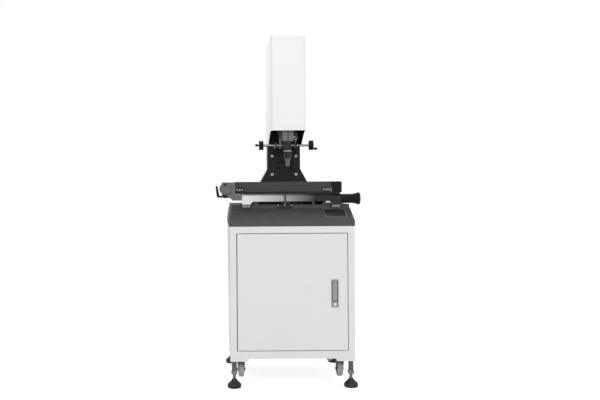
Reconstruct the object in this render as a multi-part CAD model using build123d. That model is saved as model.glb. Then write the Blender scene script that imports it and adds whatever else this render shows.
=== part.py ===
from build123d import *
import os

# Vision measuring machine: a hand-driven optical gauge standing on its own cabinet.
# Units are millimetres. X runs to the operator's right, Y away from the operator, Z up.
# The origin is on the floor under the middle of the cabinet.

# General clearances and stock
MOVING_GAP = 0.5
RUNNING_GAP = 0.05
SHEET = 1.5

# Cabinet
CAB_WIDTH = 580.0
CAB_DEPTH = 560.0
CAB_BOTTOM = 136.0
CAB_TOP = 750.0
CAB_SHEET = 2.0
FRAME_SIDE = 31.0
FRAME_TOP = 31.0
FRAME_BOTTOM = 36.0
FRAME_DEPTH = 22.0
TOP_PLATE = 8.0
LEG_PLATE_X = 85.0
LEG_PLATE_Y = 76.0
LEG_PLATE_THICK = 12.0

LOUVRE_COUNT = 6
LOUVRE_LOW = 520.0
LOUVRE_PITCH = 18.0
LOUVRE_HEIGHT = 6.0
LOUVRE_HALF = 90.0
FRAME_ROUND = 4.0

# Door and its lock
DOOR_GAP = 3.0
DOOR_THICK = 20.0
DOOR_SKIN = 1.5
HINGE_STILE = 16.0
PIVOT_INSET = 6.0
PIVOT_R = 3.0
PIVOT_LEN = 14.0
LOCK_WIDTH = 33.0
LOCK_HEIGHT = 129.0
LOCK_TOP = 503.0
LOCK_FROM_DOOR_EDGE = 43.0
LOCK_PROUD = 3.0
LOCK_POCKET_WIDTH = 25.0
LOCK_POCKET_DEPTH = 14.0
LOCK_LEVER_WIDTH = 22.0
LOCK_LEVER_LEN = 90.0
LOCK_LEVER_THICK = 6.0
LOCK_BUTTON_R = 7.0
LOCK_BUTTON_TRAVEL = 3.0
LOCK_RIM = 4.0
LOCK_CORNER = 5.0
LEVER_GAP = 1.0
LEVER_PIN_R = 1.5
LEVER_DOWN = 11.0
BUTTON_PROUD = 2.0
BUTTON_UP = 14.0
KEY_SLOT = 1.6
CAM_WIDTH = 18.0
CAM_LEN = 90.0
CAM_THICK = 3.0
CAM_BOSS = 7.5

# Levelling feet and casters
FOOT_INSET_X = 18.0
FOOT_INSET_Y = 22.0
FOOT_R = 32.5
FOOT_LIP = 12.0
FOOT_CONE = 42.0
FOOT_STUD_R = 8.0
FOOT_TRAVEL = 10.0
NUT_ACROSS = 28.0
NUT_HEIGHT = 18.0
NUT_DROP = 74.0
SLEEVE_R = 12.0
CASTER_INSET_X = 54.0
CASTER_INSET_Y = 115.0
CASTER_WHEEL_R = 36.0
CASTER_WHEEL_WIDTH = 26.0
CASTER_DROP = 76.0
CASTER_TRAIL = 18.0
CASTER_AXLE_R = 5.0
CASTER_FORK_SHEET = 3.0
CASTER_STEM_R = 8.0
CASTER_PLATE_THICK = 5.0
CASTER_PLATE_SIZE = 66.0
CASTER_RACE_R = 24.0
CASTER_RACE_H = 8.0
CASTER_CHEEK = 13.0

# Base casting
BASE_OVERHANG = 2.0
BASE_BAND = 24.0
BASE_PAD_HEIGHT = 19.0
BASE_HEIGHT = 100.0
BASE_SLOPE_FRONT = 78.0
BASE_SLOPE_SIDE = 9.0
PAD_INSET = 3.0
BASE_WALL = 14.0
BASE_RIB = 12.0

# Optical axis and bottom light
AXIS_Y = -85.0
LIGHT_R = 38.0
LIGHT_GLASS_R = 30.0
LIGHT_H = 60.0
LIGHT_LENS_H = 5.0

# Y carriage, which slides to and from the operator
TRAVEL_X = 250.0
TRAVEL_Y = 150.0
RAIL_X = 160.0
RAIL_W = 18.0
RAIL_H = 12.0
RAIL_BACK = 112.0
BLOCK_WALL = 10.0
BLOCK_L = 45.0
BLOCK_GAP = 0.3
RUNNER_LIFT = 3.0
CARRIAGE_LEFT = -229.0
CARRIAGE_RIGHT = 235.0
CARRIAGE_FRONT = -235.0
CARRIAGE_DEPTH = 270.0
CARRIAGE_RISE = 50.0
CARRIAGE_PLATE = 12.0
CARRIAGE_BAR_H = 35.0
CARRIAGE_BAR_W = 10.0
CARRIAGE_CHAMFER = 8.0
CARRIAGE_FOOT_GAP = 2.0
CARRIAGE_FOOT_W = 38.0
CARRIAGE_FOOT_TAPER = 13.0
CARRIAGE_WIN_X = 90.0
CARRIAGE_WIN_Y = 170.0
REST_BLOCK_W = 40.0
REST_BLOCK_H = 17.0
REST_BLOCK_THICK = 12.0

# Transport lock between base and carriage, drawn released
LOCK_PLATE_X = -27.0
LOCK_PLATE_W = 86.0
LOCK_PLATE_DROP = 18.0
LOCK_PLATE_CUT = 10.0
STRAP_W = 10.0
STRAP_THICK = 3.0

# X table, which slides left and right on the carriage
TABLE_LEFT = -262.0
TABLE_RIGHT = 238.0
TABLE_RISE = 58.0
TABLE_SKIRT_GAP = 12.0
TABLE_PLATE = 20.0
XRAIL_INSET = 35.0
XRAIL_BACK_INSET = 18.0
XRAIL_W = 15.0
XRAIL_H = 6.0
XBLOCK_L = 40.0
XBLOCK_WALL = 8.0
XRUNNER_LIFT = 1.0
NOTCH_W = 44.0
NOTCH_H = 17.0
END_BLOCK_LEN = 47.0
END_BLOCK_GAP = 6.0
END_BLOCK_PROUD = 4.0
END_BLOCK_ROUND = 7.0
GLASS_X = 310.0
GLASS_Y = 210.0
GLASS_THICK = 8.0
GLASS_LEDGE = 8.0
GLASS_GAP = 0.3

# Y hand drive: knob at the right end of the carriage, roller under it, bar along the base
DRIVE_SHAFT_R = 5.0
ROLLER_R = 10.0
ROLLER_W = 12.0
ROLLER_X = 110.0
ROLLER_GAP = 0.3
RELIEF_GAP = 1.3
Y_DRIVE_RISE = 27.0
Y_TUBE_R = 21.5
Y_TUBE_LEN = 60.0
Y_KNOB_R = 28.0
Y_KNOB_LEN = 31.0
Y_KNOB_FLANGE = 16.0
Y_KNOB_NECK = 24.0

# X hand drive: handwheel on a bracket at the left end of the table
X_WHEEL_X = -309.0
X_WHEEL_DROP = 32.0
X_WHEEL_R = 27.0
X_WHEEL_LEN = 16.0
X_GRIP_OFFSET = 21.0
X_GRIP_R = 5.0
X_GRIP_LEN = 18.0
BRACKET_LEFT = -324.0
BRACKET_FRONT = -262.0
BRACKET_RISE = 21.0
BRACKET_CHAMFER = 12.0
BRACKET_STEP = 2.0
ROLLER_BOX_RIGHT = -231.0
RELEASE_X = -304.0
RELEASE_DROP = 68.0
RELEASE_ARM = 36.0
RELEASE_RISE = 50.0
RELEASE_THICK = 9.0
RELEASE_PIN_R = 4.0

# Column casting
COLUMN_FRONT = 120.0
COLUMN_BACK = 208.0
COLUMN_HALF = 80.0
COLUMN_TOP_RISE = 790.0
COLUMN_PLATE_HALF = 83.0
COLUMN_PLATE_TOP_RISE = 294.0
COLUMN_WALL = 12.0
FLARE_HALF = 165.0
FLARE_TOP_RISE = 176.0
FLARE_INSET = 18.0
FLARE_EDGE = 24.0
RECESS_HALF = 40.0
RECESS_LOW_RISE = 155.0
RECESS_HIGH_RISE = 214.0
RECESS_DEPTH = 10.0
SCREW_X = 61.0
SCREW_LOW_RISE = 147.0
SCREW_HIGH_RISE = 241.0
SCREW_HEAD_R = 7.0
SCREW_HEAD_H = 8.0

# Sheet cover over the head
COVER_HALF = 84.0
COVER_FRONT = -136.0
COVER_BACK = 210.0
COVER_CLEARANCE = 23.0
COVER_DROP = 457.0
COVER_MID_Y = -70.0
COVER_MID_DROP = 463.0
COVER_REAR_Y = 60.0
COVER_REAR_DROP = 517.0
COVER_ROUND = 14.0
STRIP_LOW_DROP = 440.0
STRIP_HIGH_DROP = 40.0

# Head: camera, zoom lens, clamp and slide
LENS_R = 18.5
LENS_RISE = 222.0
OBJECTIVE_TOP_R = 14.5
RING_SEAT = 2.0
ZOOM_RING_R = 21.0
ZOOM_RING_RISE = 23.0
ZOOM_RING_H = 16.0
RING_GAP = 0.3
TIP_R = 10.5
TIP_DROP = 39.5
TIP_CONE = 14.0
CLAMP_RISE = 84.0
CLAMP_HEIGHT = 84.0
CLAMP_HALF = 27.0
CLAMP_SLOT = 3.0
CAMERA_HALF = 24.0
CAMERA_HEIGHT = 52.0
ARM_HALF = 16.0
ARM_DROP = 40.0
GUIDE_HALF = 15.0
GUIDE_DEPTH = 14.0
GUIDE_LOW_DROP = 490.0
GUIDE_HIGH_DROP = 40.0
SLIDE_RISE = 41.0
SLIDE_HEIGHT = 109.0
SLIDE_HALF = 37.0
SLIDE_THICK = 34.0
SLIDE_LIFT = 1.3

# Vertical drive: handwheel shaft, pulley, toothed belt and idler
SHAFT_Y = -28.0
SHAFT_RISE = 289.0
SHAFT_R = 6.0
PULLEY_X = -32.0
PULLEY_R = 15.0
PULLEY_LEN = 12.0
BELT_WIDTH = 10.0
BELT_THICK = 2.0
BELT_GAP = 0.3
BELT_JAW = 8.0
IDLER_DROP = 50.0
IDLER_PIN_R = 4.0
HANGER_THICK = 8.0
HANGER_LEFT = -56.0
HANGER_RIGHT = 40.0
HANGER_DROP = 12.0
WHEEL_L_X = -136.0
WHEEL_R_X = 132.0
WHEEL_R = 24.0
WHEEL_THICK = 21.0
GRIP_R = 6.0
GRIP_LEN = 20.0
GRIP_OFFSET = 17.0


def block(x0, x1, y0, y1, z0, z1):
    """A rectangular solid between two opposite corners."""
    size = Box(x1 - x0, y1 - y0, z1 - z0)
    return Pos((x0 + x1) / 2, (y0 + y1) / 2, (z0 + z1) / 2) * size


def rod_x(radius, x0, x1, y, z):
    """A round bar along X."""
    return Pos((x0 + x1) / 2, y, z) * Rot(0, 90, 0) * Cylinder(radius, x1 - x0)


def rod_y(radius, y0, y1, x, z):
    """A round bar along Y."""
    return Pos(x, (y0 + y1) / 2, z) * Rot(90, 0, 0) * Cylinder(radius, y1 - y0)


def rod_z(radius, z0, z1, x, y):
    """A round bar along Z."""
    return Pos(x, y, (z0 + z1) / 2) * Cylinder(radius, z1 - z0)


def prism_x(points, x0, x1):
    """A plate whose outline is given as (y, z) points, between two X positions."""
    outline = make_face(Plane.YZ * Polyline(*points, close=True))
    return Pos(x0, 0, 0) * extrude(outline, x1 - x0, dir=(1, 0, 0))


def prism_y(points, y0, y1):
    """A plate whose outline is given as (x, z) points, between two Y positions."""
    outline = make_face(Plane.XZ * Polyline(*points, close=True))
    return Pos(0, y0, 0) * extrude(outline, y1 - y0, dir=(0, 1, 0))


def turned(points, x, y, z, tilt=(0, 0, 0)):
    """A lathe-turned solid from (radius, height) points, its axis on Z before the tilt."""
    outline = make_face(Plane.XZ * Polyline(*points, close=True))
    return Pos(x, y, z) * Rot(*tilt) * revolve(outline, Axis.Z)


def save(name, *solids):
    """Write one named piece; identical fasteners share one file as separate solids."""
    shape = solids[0] if len(solids) == 1 else Compound(children=list(solids))
    export_step(shape, "parts/" + name + ".step")


os.makedirs("parts", exist_ok=True)
CAB_FRONT = -CAB_DEPTH / 2
CAB_BACK = CAB_DEPTH / 2
CAB_HALF = CAB_WIDTH / 2
BASE_HALF = CAB_HALF + BASE_OVERHANG
BASE_FRONT = CAB_FRONT
BASE_BACK = CAB_BACK
BASE_BOTTOM = CAB_TOP
FOOT_X = CAB_HALF - FOOT_INSET_X
FOOT_Y = CAB_BACK - FOOT_INSET_Y
CASTER_X = CAB_HALF - CASTER_INSET_X
CASTER_Y = CAB_BACK - CASTER_INSET_Y
CASTER_WHEEL_Z = CAB_BOTTOM - CASTER_DROP
NUT_Z = CAB_BOTTOM - NUT_DROP
BASE_TOP = CAB_TOP + BASE_HEIGHT
BASE_SLOPE_TOP = BASE_TOP - BASE_PAD_HEIGHT
FLARE_BACK = BASE_BACK - FLARE_INSET
CARRIAGE_TOP = BASE_TOP + CARRIAGE_RISE
CARRIAGE_FOOT_Z = BASE_TOP + CARRIAGE_FOOT_GAP
Y_DRIVE_Z = BASE_TOP + Y_DRIVE_RISE
LOCK_PLATE_LOW = BASE_TOP - LOCK_PLATE_DROP
TABLE_TOP = CARRIAGE_TOP + TABLE_RISE
TABLE_BOTTOM = CARRIAGE_TOP + TABLE_SKIRT_GAP
END_BLOCK_LOW = CARRIAGE_TOP + END_BLOCK_GAP
BRACKET_LOW = BASE_TOP + BRACKET_RISE
X_WHEEL_Z = TABLE_TOP - X_WHEEL_DROP
RELEASE_Z = TABLE_TOP - RELEASE_DROP
COLUMN_TOP = BASE_TOP + COLUMN_TOP_RISE
COLUMN_PLATE_TOP = BASE_TOP + COLUMN_PLATE_TOP_RISE
FLARE_TOP = BASE_TOP + FLARE_TOP_RISE
RECESS_LOW = BASE_TOP + RECESS_LOW_RISE
RECESS_HIGH = BASE_TOP + RECESS_HIGH_RISE
SCREW_LOW = BASE_TOP + SCREW_LOW_RISE
SCREW_HIGH = BASE_TOP + SCREW_HIGH_RISE
COVER_TOP = COLUMN_TOP + COVER_CLEARANCE
COVER_LOW = COVER_TOP - COVER_DROP
COVER_MID_LOW = COVER_TOP - COVER_MID_DROP
COVER_REAR_LOW = COVER_TOP - COVER_REAR_DROP
STRIP_LOW = COLUMN_TOP - STRIP_LOW_DROP
STRIP_HIGH = COLUMN_TOP - STRIP_HIGH_DROP
GUIDE_LOW = COLUMN_TOP - GUIDE_LOW_DROP
GUIDE_HIGH = COLUMN_TOP - GUIDE_HIGH_DROP
SHAFT_Z = BASE_TOP + SHAFT_RISE
IDLER_Z = COLUMN_TOP - IDLER_DROP
LENS_LOW = BASE_TOP + LENS_RISE
ZOOM_RING_LOW = LENS_LOW + ZOOM_RING_RISE
TIP_LOW = LENS_LOW - TIP_DROP
TIP_SHOULDER = LENS_LOW - TIP_CONE
CLAMP_LOW = LENS_LOW + CLAMP_RISE
CLAMP_HIGH = CLAMP_LOW + CLAMP_HEIGHT
CAMERA_HIGH = CLAMP_HIGH + CAMERA_HEIGHT
ARM_LOW = CLAMP_HIGH - ARM_DROP
SLIDE_LOW = CLAMP_LOW + SLIDE_RISE
SLIDE_HIGH = SLIDE_LOW + SLIDE_HEIGHT
OPEN_HALF = CAB_HALF - FRAME_SIDE
OPEN_LOW = CAB_BOTTOM + FRAME_BOTTOM
OPEN_HIGH = CAB_TOP - FRAME_TOP
PIVOT_X = -OPEN_HALF + DOOR_GAP + PIVOT_INSET
PIVOT_Y = CAB_FRONT + PIVOT_INSET
LOCK_X = OPEN_HALF - DOOR_GAP - LOCK_FROM_DOOR_EDGE - LOCK_WIDTH / 2
LOCK_LOW = LOCK_TOP - LOCK_HEIGHT
LEVER_TOP = LOCK_TOP - LEVER_DOWN
BUTTON_Z = LOCK_LOW + BUTTON_UP
LEVER_PIN_Z = LEVER_TOP - LOCK_LEVER_WIDTH / 2
LEVER_PIN_Y = CAB_FRONT - LOCK_PROUD + LOCK_LEVER_THICK / 2
BAND_TOP = BASE_BOTTOM + BASE_BAND
PAD_FRONT = BASE_FRONT + BASE_SLOPE_FRONT + PAD_INSET
LIGHT_TOP = BASE_TOP + LIGHT_LENS_H
RAIL_TOP = BASE_TOP + RAIL_H
RUNNER_FRONT_Y = PAD_FRONT + TRAVEL_Y / 2 + BLOCK_L / 2
RUNNER_BACK_Y = RAIL_BACK - TRAVEL_Y / 2 - BLOCK_L / 2
CARRIAGE_PLATE_LOW = CARRIAGE_TOP - CARRIAGE_PLATE
XRAIL_TOP = CARRIAGE_TOP + XRAIL_H
XRAIL_YS = (CARRIAGE_FRONT + XRAIL_INSET, CARRIAGE_FRONT + CARRIAGE_DEPTH - XRAIL_BACK_INSET)
XRUNNER_LEFT = CARRIAGE_LEFT + TRAVEL_X / 2 + XBLOCK_L / 2
XRUNNER_RIGHT = CARRIAGE_RIGHT - TRAVEL_X / 2 - XBLOCK_L / 2
GLASS_MID_X = (TABLE_LEFT + TABLE_RIGHT) / 2
GLASS_MID_Y = CARRIAGE_FRONT + CARRIAGE_DEPTH / 2
Y_DRIVE_Y = CARRIAGE_FRONT + Y_TUBE_R
DRIVE_BAR_TOP = Y_DRIVE_Z - ROLLER_R - ROLLER_GAP
CORNERS = [(sx, sy) for sy in (-1, 1) for sx in (-1, 1)]
SIDE_NAMES = {(-1, -1): "front_left", (1, -1): "front_right", (-1, 1): "rear_left", (1, 1): "rear_right"}


def cabinet():
    """Folded sheet-steel cabinet: separate walls round an open interior, closed by the door."""
    inner_front = CAB_FRONT + FRAME_DEPTH
    inner_half = CAB_HALF - CAB_SHEET
    wall_back = CAB_BACK - CAB_SHEET
    floor_top = CAB_BOTTOM + CAB_SHEET
    roof_low = CAB_TOP - TOP_PLATE
    left = block(-CAB_HALF, -inner_half, inner_front, wall_back, CAB_BOTTOM, roof_low)
    right = block(inner_half, CAB_HALF, inner_front, wall_back, CAB_BOTTOM, roof_low)
    back = block(-CAB_HALF, CAB_HALF, wall_back, CAB_BACK, CAB_BOTTOM, roof_low)
    for row in range(LOUVRE_COUNT):
        z = LOUVRE_LOW + row * LOUVRE_PITCH
        back -= block(-LOUVRE_HALF, LOUVRE_HALF, wall_back, CAB_BACK, z, z + LOUVRE_HEIGHT)
    floor = block(-inner_half, inner_half, inner_front, wall_back, CAB_BOTTOM, floor_top)
    save("cabinet_panels", left, right, back, floor)
    save("cabinet_top_plate", block(-CAB_HALF, CAB_HALF, inner_front, CAB_BACK, roof_low, CAB_TOP))
    frame = block(-CAB_HALF, CAB_HALF, CAB_FRONT, inner_front, CAB_BOTTOM, CAB_TOP)
    frame -= block(-OPEN_HALF, OPEN_HALF, CAB_FRONT, inner_front, OPEN_LOW, OPEN_HIGH)
    for z0, z1 in ((OPEN_LOW - PIVOT_LEN, OPEN_LOW), (OPEN_HIGH, OPEN_HIGH + PIVOT_LEN)):
        frame -= rod_z(PIVOT_R, z0, z1, PIVOT_X, PIVOT_Y)
    outer = frame.edges().filter_by(Axis.Z).group_by(Axis.Y)[0].group_by(Axis.X)
    save("cabinet_front_frame", fillet(outer[0] + outer[-1], FRAME_ROUND))


def door_and_pivots():
    """Pan-shaped door on two pivot pins, with a recessed swing-handle lock."""
    left, right = -OPEN_HALF + DOOR_GAP, OPEN_HALF - DOOR_GAP
    low, high = OPEN_LOW + DOOR_GAP, OPEN_HIGH - DOOR_GAP
    back = CAB_FRONT + DOOR_THICK
    door = block(left, right, CAB_FRONT, back, low, high)
    hinge_edge = door.edges().filter_by(Axis.Z).group_by(Axis.X)[0].group_by(Axis.Y)[0]
    door = fillet(hinge_edge, PIVOT_INSET - RUNNING_GAP)
    skin = CAB_FRONT + DOOR_SKIN
    pan = block(left + HINGE_STILE, right - DOOR_SKIN, skin, back, low + DOOR_SKIN, high - DOOR_SKIN)
    door -= pan
    for z0, z1 in ((low, low + PIVOT_LEN), (high - PIVOT_LEN, high)):
        door -= rod_z(PIVOT_R + RUNNING_GAP, z0, z1, PIVOT_X, PIVOT_Y)
    tray_half = LOCK_POCKET_WIDTH / 2 + SHEET
    tray_low, tray_high = LOCK_LOW + LOCK_RIM, LOCK_TOP - LOCK_RIM
    door -= block(LOCK_X - tray_half, LOCK_X + tray_half, CAB_FRONT, skin, tray_low, tray_high)
    save("door_panel", door)
    reach = PIVOT_LEN - MOVING_GAP
    pins = [
        rod_z(PIVOT_R, OPEN_LOW - PIVOT_LEN, low + reach, PIVOT_X, PIVOT_Y),
        rod_z(PIVOT_R, high - reach, OPEN_HIGH + PIVOT_LEN, PIVOT_X, PIVOT_Y),
    ]
    save("door_pivot_pins", *pins)


def door_lock():
    """Lock tray let into the door, lever hinged at its top end, sprung button and rear cam."""
    half = LOCK_WIDTH / 2
    tray_half = LOCK_POCKET_WIDTH / 2 + SHEET
    face = CAB_FRONT - LOCK_PROUD
    tray_back = CAB_FRONT + LOCK_POCKET_DEPTH + SHEET
    tray_low, tray_high = LOCK_LOW + LOCK_RIM, LOCK_TOP - LOCK_RIM
    flange = block(LOCK_X - half, LOCK_X + half, face, CAB_FRONT, LOCK_LOW, LOCK_TOP)
    flange = fillet(flange.edges().filter_by(Axis.Y), LOCK_CORNER)
    tray = flange + block(LOCK_X - tray_half, LOCK_X + tray_half, CAB_FRONT, tray_back, tray_low, tray_high)
    pocket_half = LOCK_POCKET_WIDTH / 2
    pocket_low = LEVER_TOP - LOCK_LEVER_LEN - LEVER_GAP
    pocket_high = LEVER_TOP + LEVER_GAP
    pocket_back = CAB_FRONT + LOCK_POCKET_DEPTH
    tray -= block(LOCK_X - pocket_half, LOCK_X + pocket_half, face, pocket_back, pocket_low, pocket_high)
    tray -= rod_y(LOCK_BUTTON_R + RUNNING_GAP, face, pocket_back, LOCK_X, BUTTON_Z)
    pin_half = pocket_half + SHEET / 2
    tray -= rod_x(LEVER_PIN_R, LOCK_X - pin_half, LOCK_X + pin_half, LEVER_PIN_Y, LEVER_PIN_Z)
    pin = rod_x(LEVER_PIN_R, LOCK_X - pin_half, LOCK_X + pin_half, LEVER_PIN_Y, LEVER_PIN_Z)
    save("lock_tray_and_pin", tray, pin)
    lever_half = LOCK_LEVER_WIDTH / 2
    lever_back = face + LOCK_LEVER_THICK
    lever_low = LEVER_TOP - LOCK_LEVER_LEN
    lever = block(LOCK_X - lever_half, LOCK_X + lever_half, face, lever_back, lever_low, LEVER_TOP)
    top_edges = lever.edges().filter_by(Axis.Y).group_by(Axis.Z)[-1]
    lever = fillet(top_edges, lever_half - MOVING_GAP)
    lever -= rod_x(LEVER_PIN_R + RUNNING_GAP, LOCK_X - half, LOCK_X + half, LEVER_PIN_Y, LEVER_PIN_Z)
    save("lock_lever", lever)
    button_back = pocket_back - LOCK_BUTTON_TRAVEL - MOVING_GAP
    button = rod_y(LOCK_BUTTON_R, face - BUTTON_PROUD, button_back, LOCK_X, BUTTON_Z)
    key = block(-KEY_SLOT / 2, KEY_SLOT / 2, -BUTTON_PROUD, 0, -LOCK_BUTTON_R / 2, LOCK_BUTTON_R / 2)
    save("lock_button", button - Pos(LOCK_X, face, BUTTON_Z) * key)
    cam_top = (LOCK_LOW + LOCK_TOP) / 2 + CAM_WIDTH / 2
    boss = rod_y(CAM_WIDTH / 2, tray_back, tray_back + CAM_BOSS, LOCK_X, cam_top - CAM_WIDTH / 2)
    cam_back = tray_back + CAM_BOSS
    cam = block(LOCK_X - CAM_WIDTH / 2, LOCK_X + CAM_WIDTH / 2, cam_back, cam_back + CAM_THICK,
                cam_top - CAM_LEN, cam_top)
    save("lock_cam", boss + cam)


def feet_and_casters():
    """Four screw feet with lock nuts, and four swivel casters that hang clear of the floor."""
    plates, nuts, cups = [], [], []
    stud_top = CAB_BOTTOM - FOOT_TRAVEL - MOVING_GAP
    nut_outline = RegularPolygon(NUT_ACROSS / 2, 6, major_radius=False)
    for sx, sy in CORNERS:
        corner = SIDE_NAMES[(sx, sy)]
        x, y = sx * FOOT_X, sy * FOOT_Y
        edges_x = sorted((sx * CAB_HALF, sx * (CAB_HALF - LEG_PLATE_X)))
        edges_y = sorted((sy * CAB_BACK, sy * (CAB_BACK - LEG_PLATE_Y)))
        plate_low = CAB_BOTTOM - LEG_PLATE_THICK
        plate = block(*edges_x, *edges_y, plate_low, CAB_BOTTOM)
        nut_high = NUT_Z + NUT_HEIGHT
        plate += rod_z(SLEEVE_R, nut_high, plate_low, x, y)
        plates.append(plate - rod_z(FOOT_STUD_R + RUNNING_GAP, nut_high, CAB_BOTTOM, x, y))
        nut = Pos(x, y, NUT_Z) * extrude(nut_outline, NUT_HEIGHT)
        nuts.append(nut - rod_z(FOOT_STUD_R + RUNNING_GAP, NUT_Z, nut_high, x, y))
        foot_outline = [(0, 0), (FOOT_R, 0), (FOOT_R, FOOT_LIP), (FOOT_STUD_R, FOOT_CONE),
                        (FOOT_STUD_R, stud_top), (0, stud_top)]
        save("levelling_foot_" + corner, turned(foot_outline, x, y, 0))
        caster(corner, sx * CASTER_X, sy * CASTER_Y, cups)
    save("foot_lock_nuts", *nuts)
    save("leg_and_caster_plates", *plates, *cups)


def caster(corner, x, y, cups):
    """One caster: mounting plate with its race, pressed fork with kingpin and axle, and wheel."""
    plate_low = CAB_BOTTOM - CASTER_PLATE_THICK
    half = CASTER_PLATE_SIZE / 2
    cup = block(x - half, x + half, y - half, y + half, plate_low, CAB_BOTTOM)
    cup += rod_z(CASTER_RACE_R, plate_low - CASTER_RACE_H, plate_low, x, y)
    cups.append(cup - rod_z(CASTER_STEM_R + RUNNING_GAP, plate_low - CASTER_RACE_H, CAB_BOTTOM, x, y))
    crown_high = plate_low - CASTER_RACE_H - MOVING_GAP
    crown_low = crown_high - CASTER_FORK_SHEET
    axle_y = y + CASTER_TRAIL
    inner = CASTER_WHEEL_WIDTH / 2 + MOVING_GAP
    outer = inner + CASTER_FORK_SHEET
    cheek = [(y - CASTER_RACE_R, crown_high), (y + CASTER_RACE_R, crown_high),
             (axle_y + CASTER_CHEEK, CASTER_WHEEL_Z), (axle_y, CASTER_WHEEL_Z - CASTER_CHEEK),
             (axle_y - CASTER_CHEEK, CASTER_WHEEL_Z)]
    fork = prism_x(cheek, x + inner, x + outer) + prism_x(cheek, x - outer, x - inner)
    fork += block(x - outer, x + outer, y - CASTER_RACE_R, y + CASTER_RACE_R, crown_low, crown_high)
    fork += rod_z(CASTER_STEM_R, crown_high, plate_low, x, y)
    fork += rod_x(CASTER_AXLE_R, x - outer, x + outer, axle_y, CASTER_WHEEL_Z)
    save("caster_fork_" + corner, fork)
    half_width = CASTER_WHEEL_WIDTH / 2
    wheel = rod_x(CASTER_WHEEL_R, x - half_width, x + half_width, axle_y, CASTER_WHEEL_Z)
    bore = rod_x(CASTER_AXLE_R + RUNNING_GAP, x - half_width, x + half_width, axle_y, CASTER_WHEEL_Z)
    save("caster_wheel_" + corner, wheel - bore)


def base():
    """Ribbed iron base casting with a sloped front, its bottom light and the fixed Y rails."""
    def section(inset, z):
        front = BASE_FRONT + BASE_SLOPE_FRONT * (z - BAND_TOP) / (BASE_SLOPE_TOP - BAND_TOP) + inset
        back = BASE_BACK - inset
        half = BASE_HALF - BASE_SLOPE_SIDE * (z - BAND_TOP) / (BASE_SLOPE_TOP - BAND_TOP) - inset
        return Pos(0, (front + back) / 2, z) * Rectangle(2 * half, back - front)

    band = block(-BASE_HALF, BASE_HALF, BASE_FRONT, BASE_BACK, BASE_BOTTOM, BAND_TOP)
    casting = band + loft([section(0, BAND_TOP), section(0, BASE_SLOPE_TOP)])
    casting += extrude(section(PAD_INSET, BASE_SLOPE_TOP), BASE_TOP - BASE_SLOPE_TOP)
    hollow = block(-BASE_HALF + BASE_WALL, BASE_HALF - BASE_WALL, BASE_FRONT + BASE_WALL,
                   BASE_BACK - BASE_WALL, BASE_BOTTOM, BAND_TOP)
    hollow += loft([section(BASE_WALL, BAND_TOP), section(BASE_WALL, BASE_SLOPE_TOP)])
    ribs = [block(x - BASE_RIB / 2, x + BASE_RIB / 2, BASE_FRONT, BASE_BACK, BASE_BOTTOM, BASE_TOP)
            for x in (-RAIL_X, RAIL_X)]
    hollow -= ribs[0] + ribs[1]
    casting -= hollow
    casting -= rod_z(LIGHT_R + RUNNING_GAP, BASE_BOTTOM, BASE_TOP, 0, AXIS_Y)
    save("base_casting", casting)
    save("bottom_light_housing", rod_z(LIGHT_R, BASE_TOP - LIGHT_H, BASE_TOP, 0, AXIS_Y))
    save("bottom_light_lens", rod_z(LIGHT_GLASS_R, BASE_TOP, LIGHT_TOP, 0, AXIS_Y))
    rails = [block(x - RAIL_W / 2, x + RAIL_W / 2, PAD_FRONT, RAIL_BACK, BASE_TOP, RAIL_TOP)
             for x in (-RAIL_X, RAIL_X)]
    bar_half = ROLLER_W / 2
    bar = block(ROLLER_X - bar_half, ROLLER_X + bar_half, PAD_FRONT, RAIL_BACK, BASE_TOP, DRIVE_BAR_TOP)
    rests = []
    for x0 in (CARRIAGE_LEFT, CARRIAGE_RIGHT - REST_BLOCK_W):
        rests.append(block(x0, x0 + REST_BLOCK_W, PAD_FRONT - REST_BLOCK_THICK, PAD_FRONT,
                           BASE_TOP - REST_BLOCK_H, BASE_TOP))
    save("y_rails_and_drive_bar", *rails, bar, *rests)


def transport_lock():
    """Cut-cornered plate on the base front, and the strap left on the carriage bar."""
    half, cut = LOCK_PLATE_W / 2, LOCK_PLATE_CUT
    outline = [(LOCK_PLATE_X - half, BASE_TOP), (LOCK_PLATE_X + half, BASE_TOP),
               (LOCK_PLATE_X + half, LOCK_PLATE_LOW + cut), (LOCK_PLATE_X + half - cut, LOCK_PLATE_LOW),
               (LOCK_PLATE_X - half + cut, LOCK_PLATE_LOW), (LOCK_PLATE_X - half, LOCK_PLATE_LOW + cut)]
    save("transport_lock_plate", prism_y(outline, PAD_FRONT - STRAP_THICK, PAD_FRONT))
    save("transport_lock_strap", block(LOCK_PLATE_X - STRAP_W / 2, LOCK_PLATE_X + STRAP_W / 2,
                                       CARRIAGE_FRONT - STRAP_THICK, CARRIAGE_FRONT,
                                       CARRIAGE_FOOT_Z, CARRIAGE_TOP))


def runner(x, y, length, rail_w, wall, low, rail_top, high, along_x):
    """A bearing block that straddles a rail with a running gap."""
    inner = rail_w / 2 + BLOCK_GAP
    outer = inner + wall
    if along_x:
        body = block(x - length / 2, x + length / 2, y - outer, y + outer, low, high)
        slot = block(x - length / 2, x + length / 2, y - inner, y + inner, low, rail_top + BLOCK_GAP)
    else:
        body = block(x - outer, x + outer, y - length / 2, y + length / 2, low, high)
        slot = block(x - inner, x + inner, y - length / 2, y + length / 2, low, rail_top + BLOCK_GAP)
    return body - slot


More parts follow.
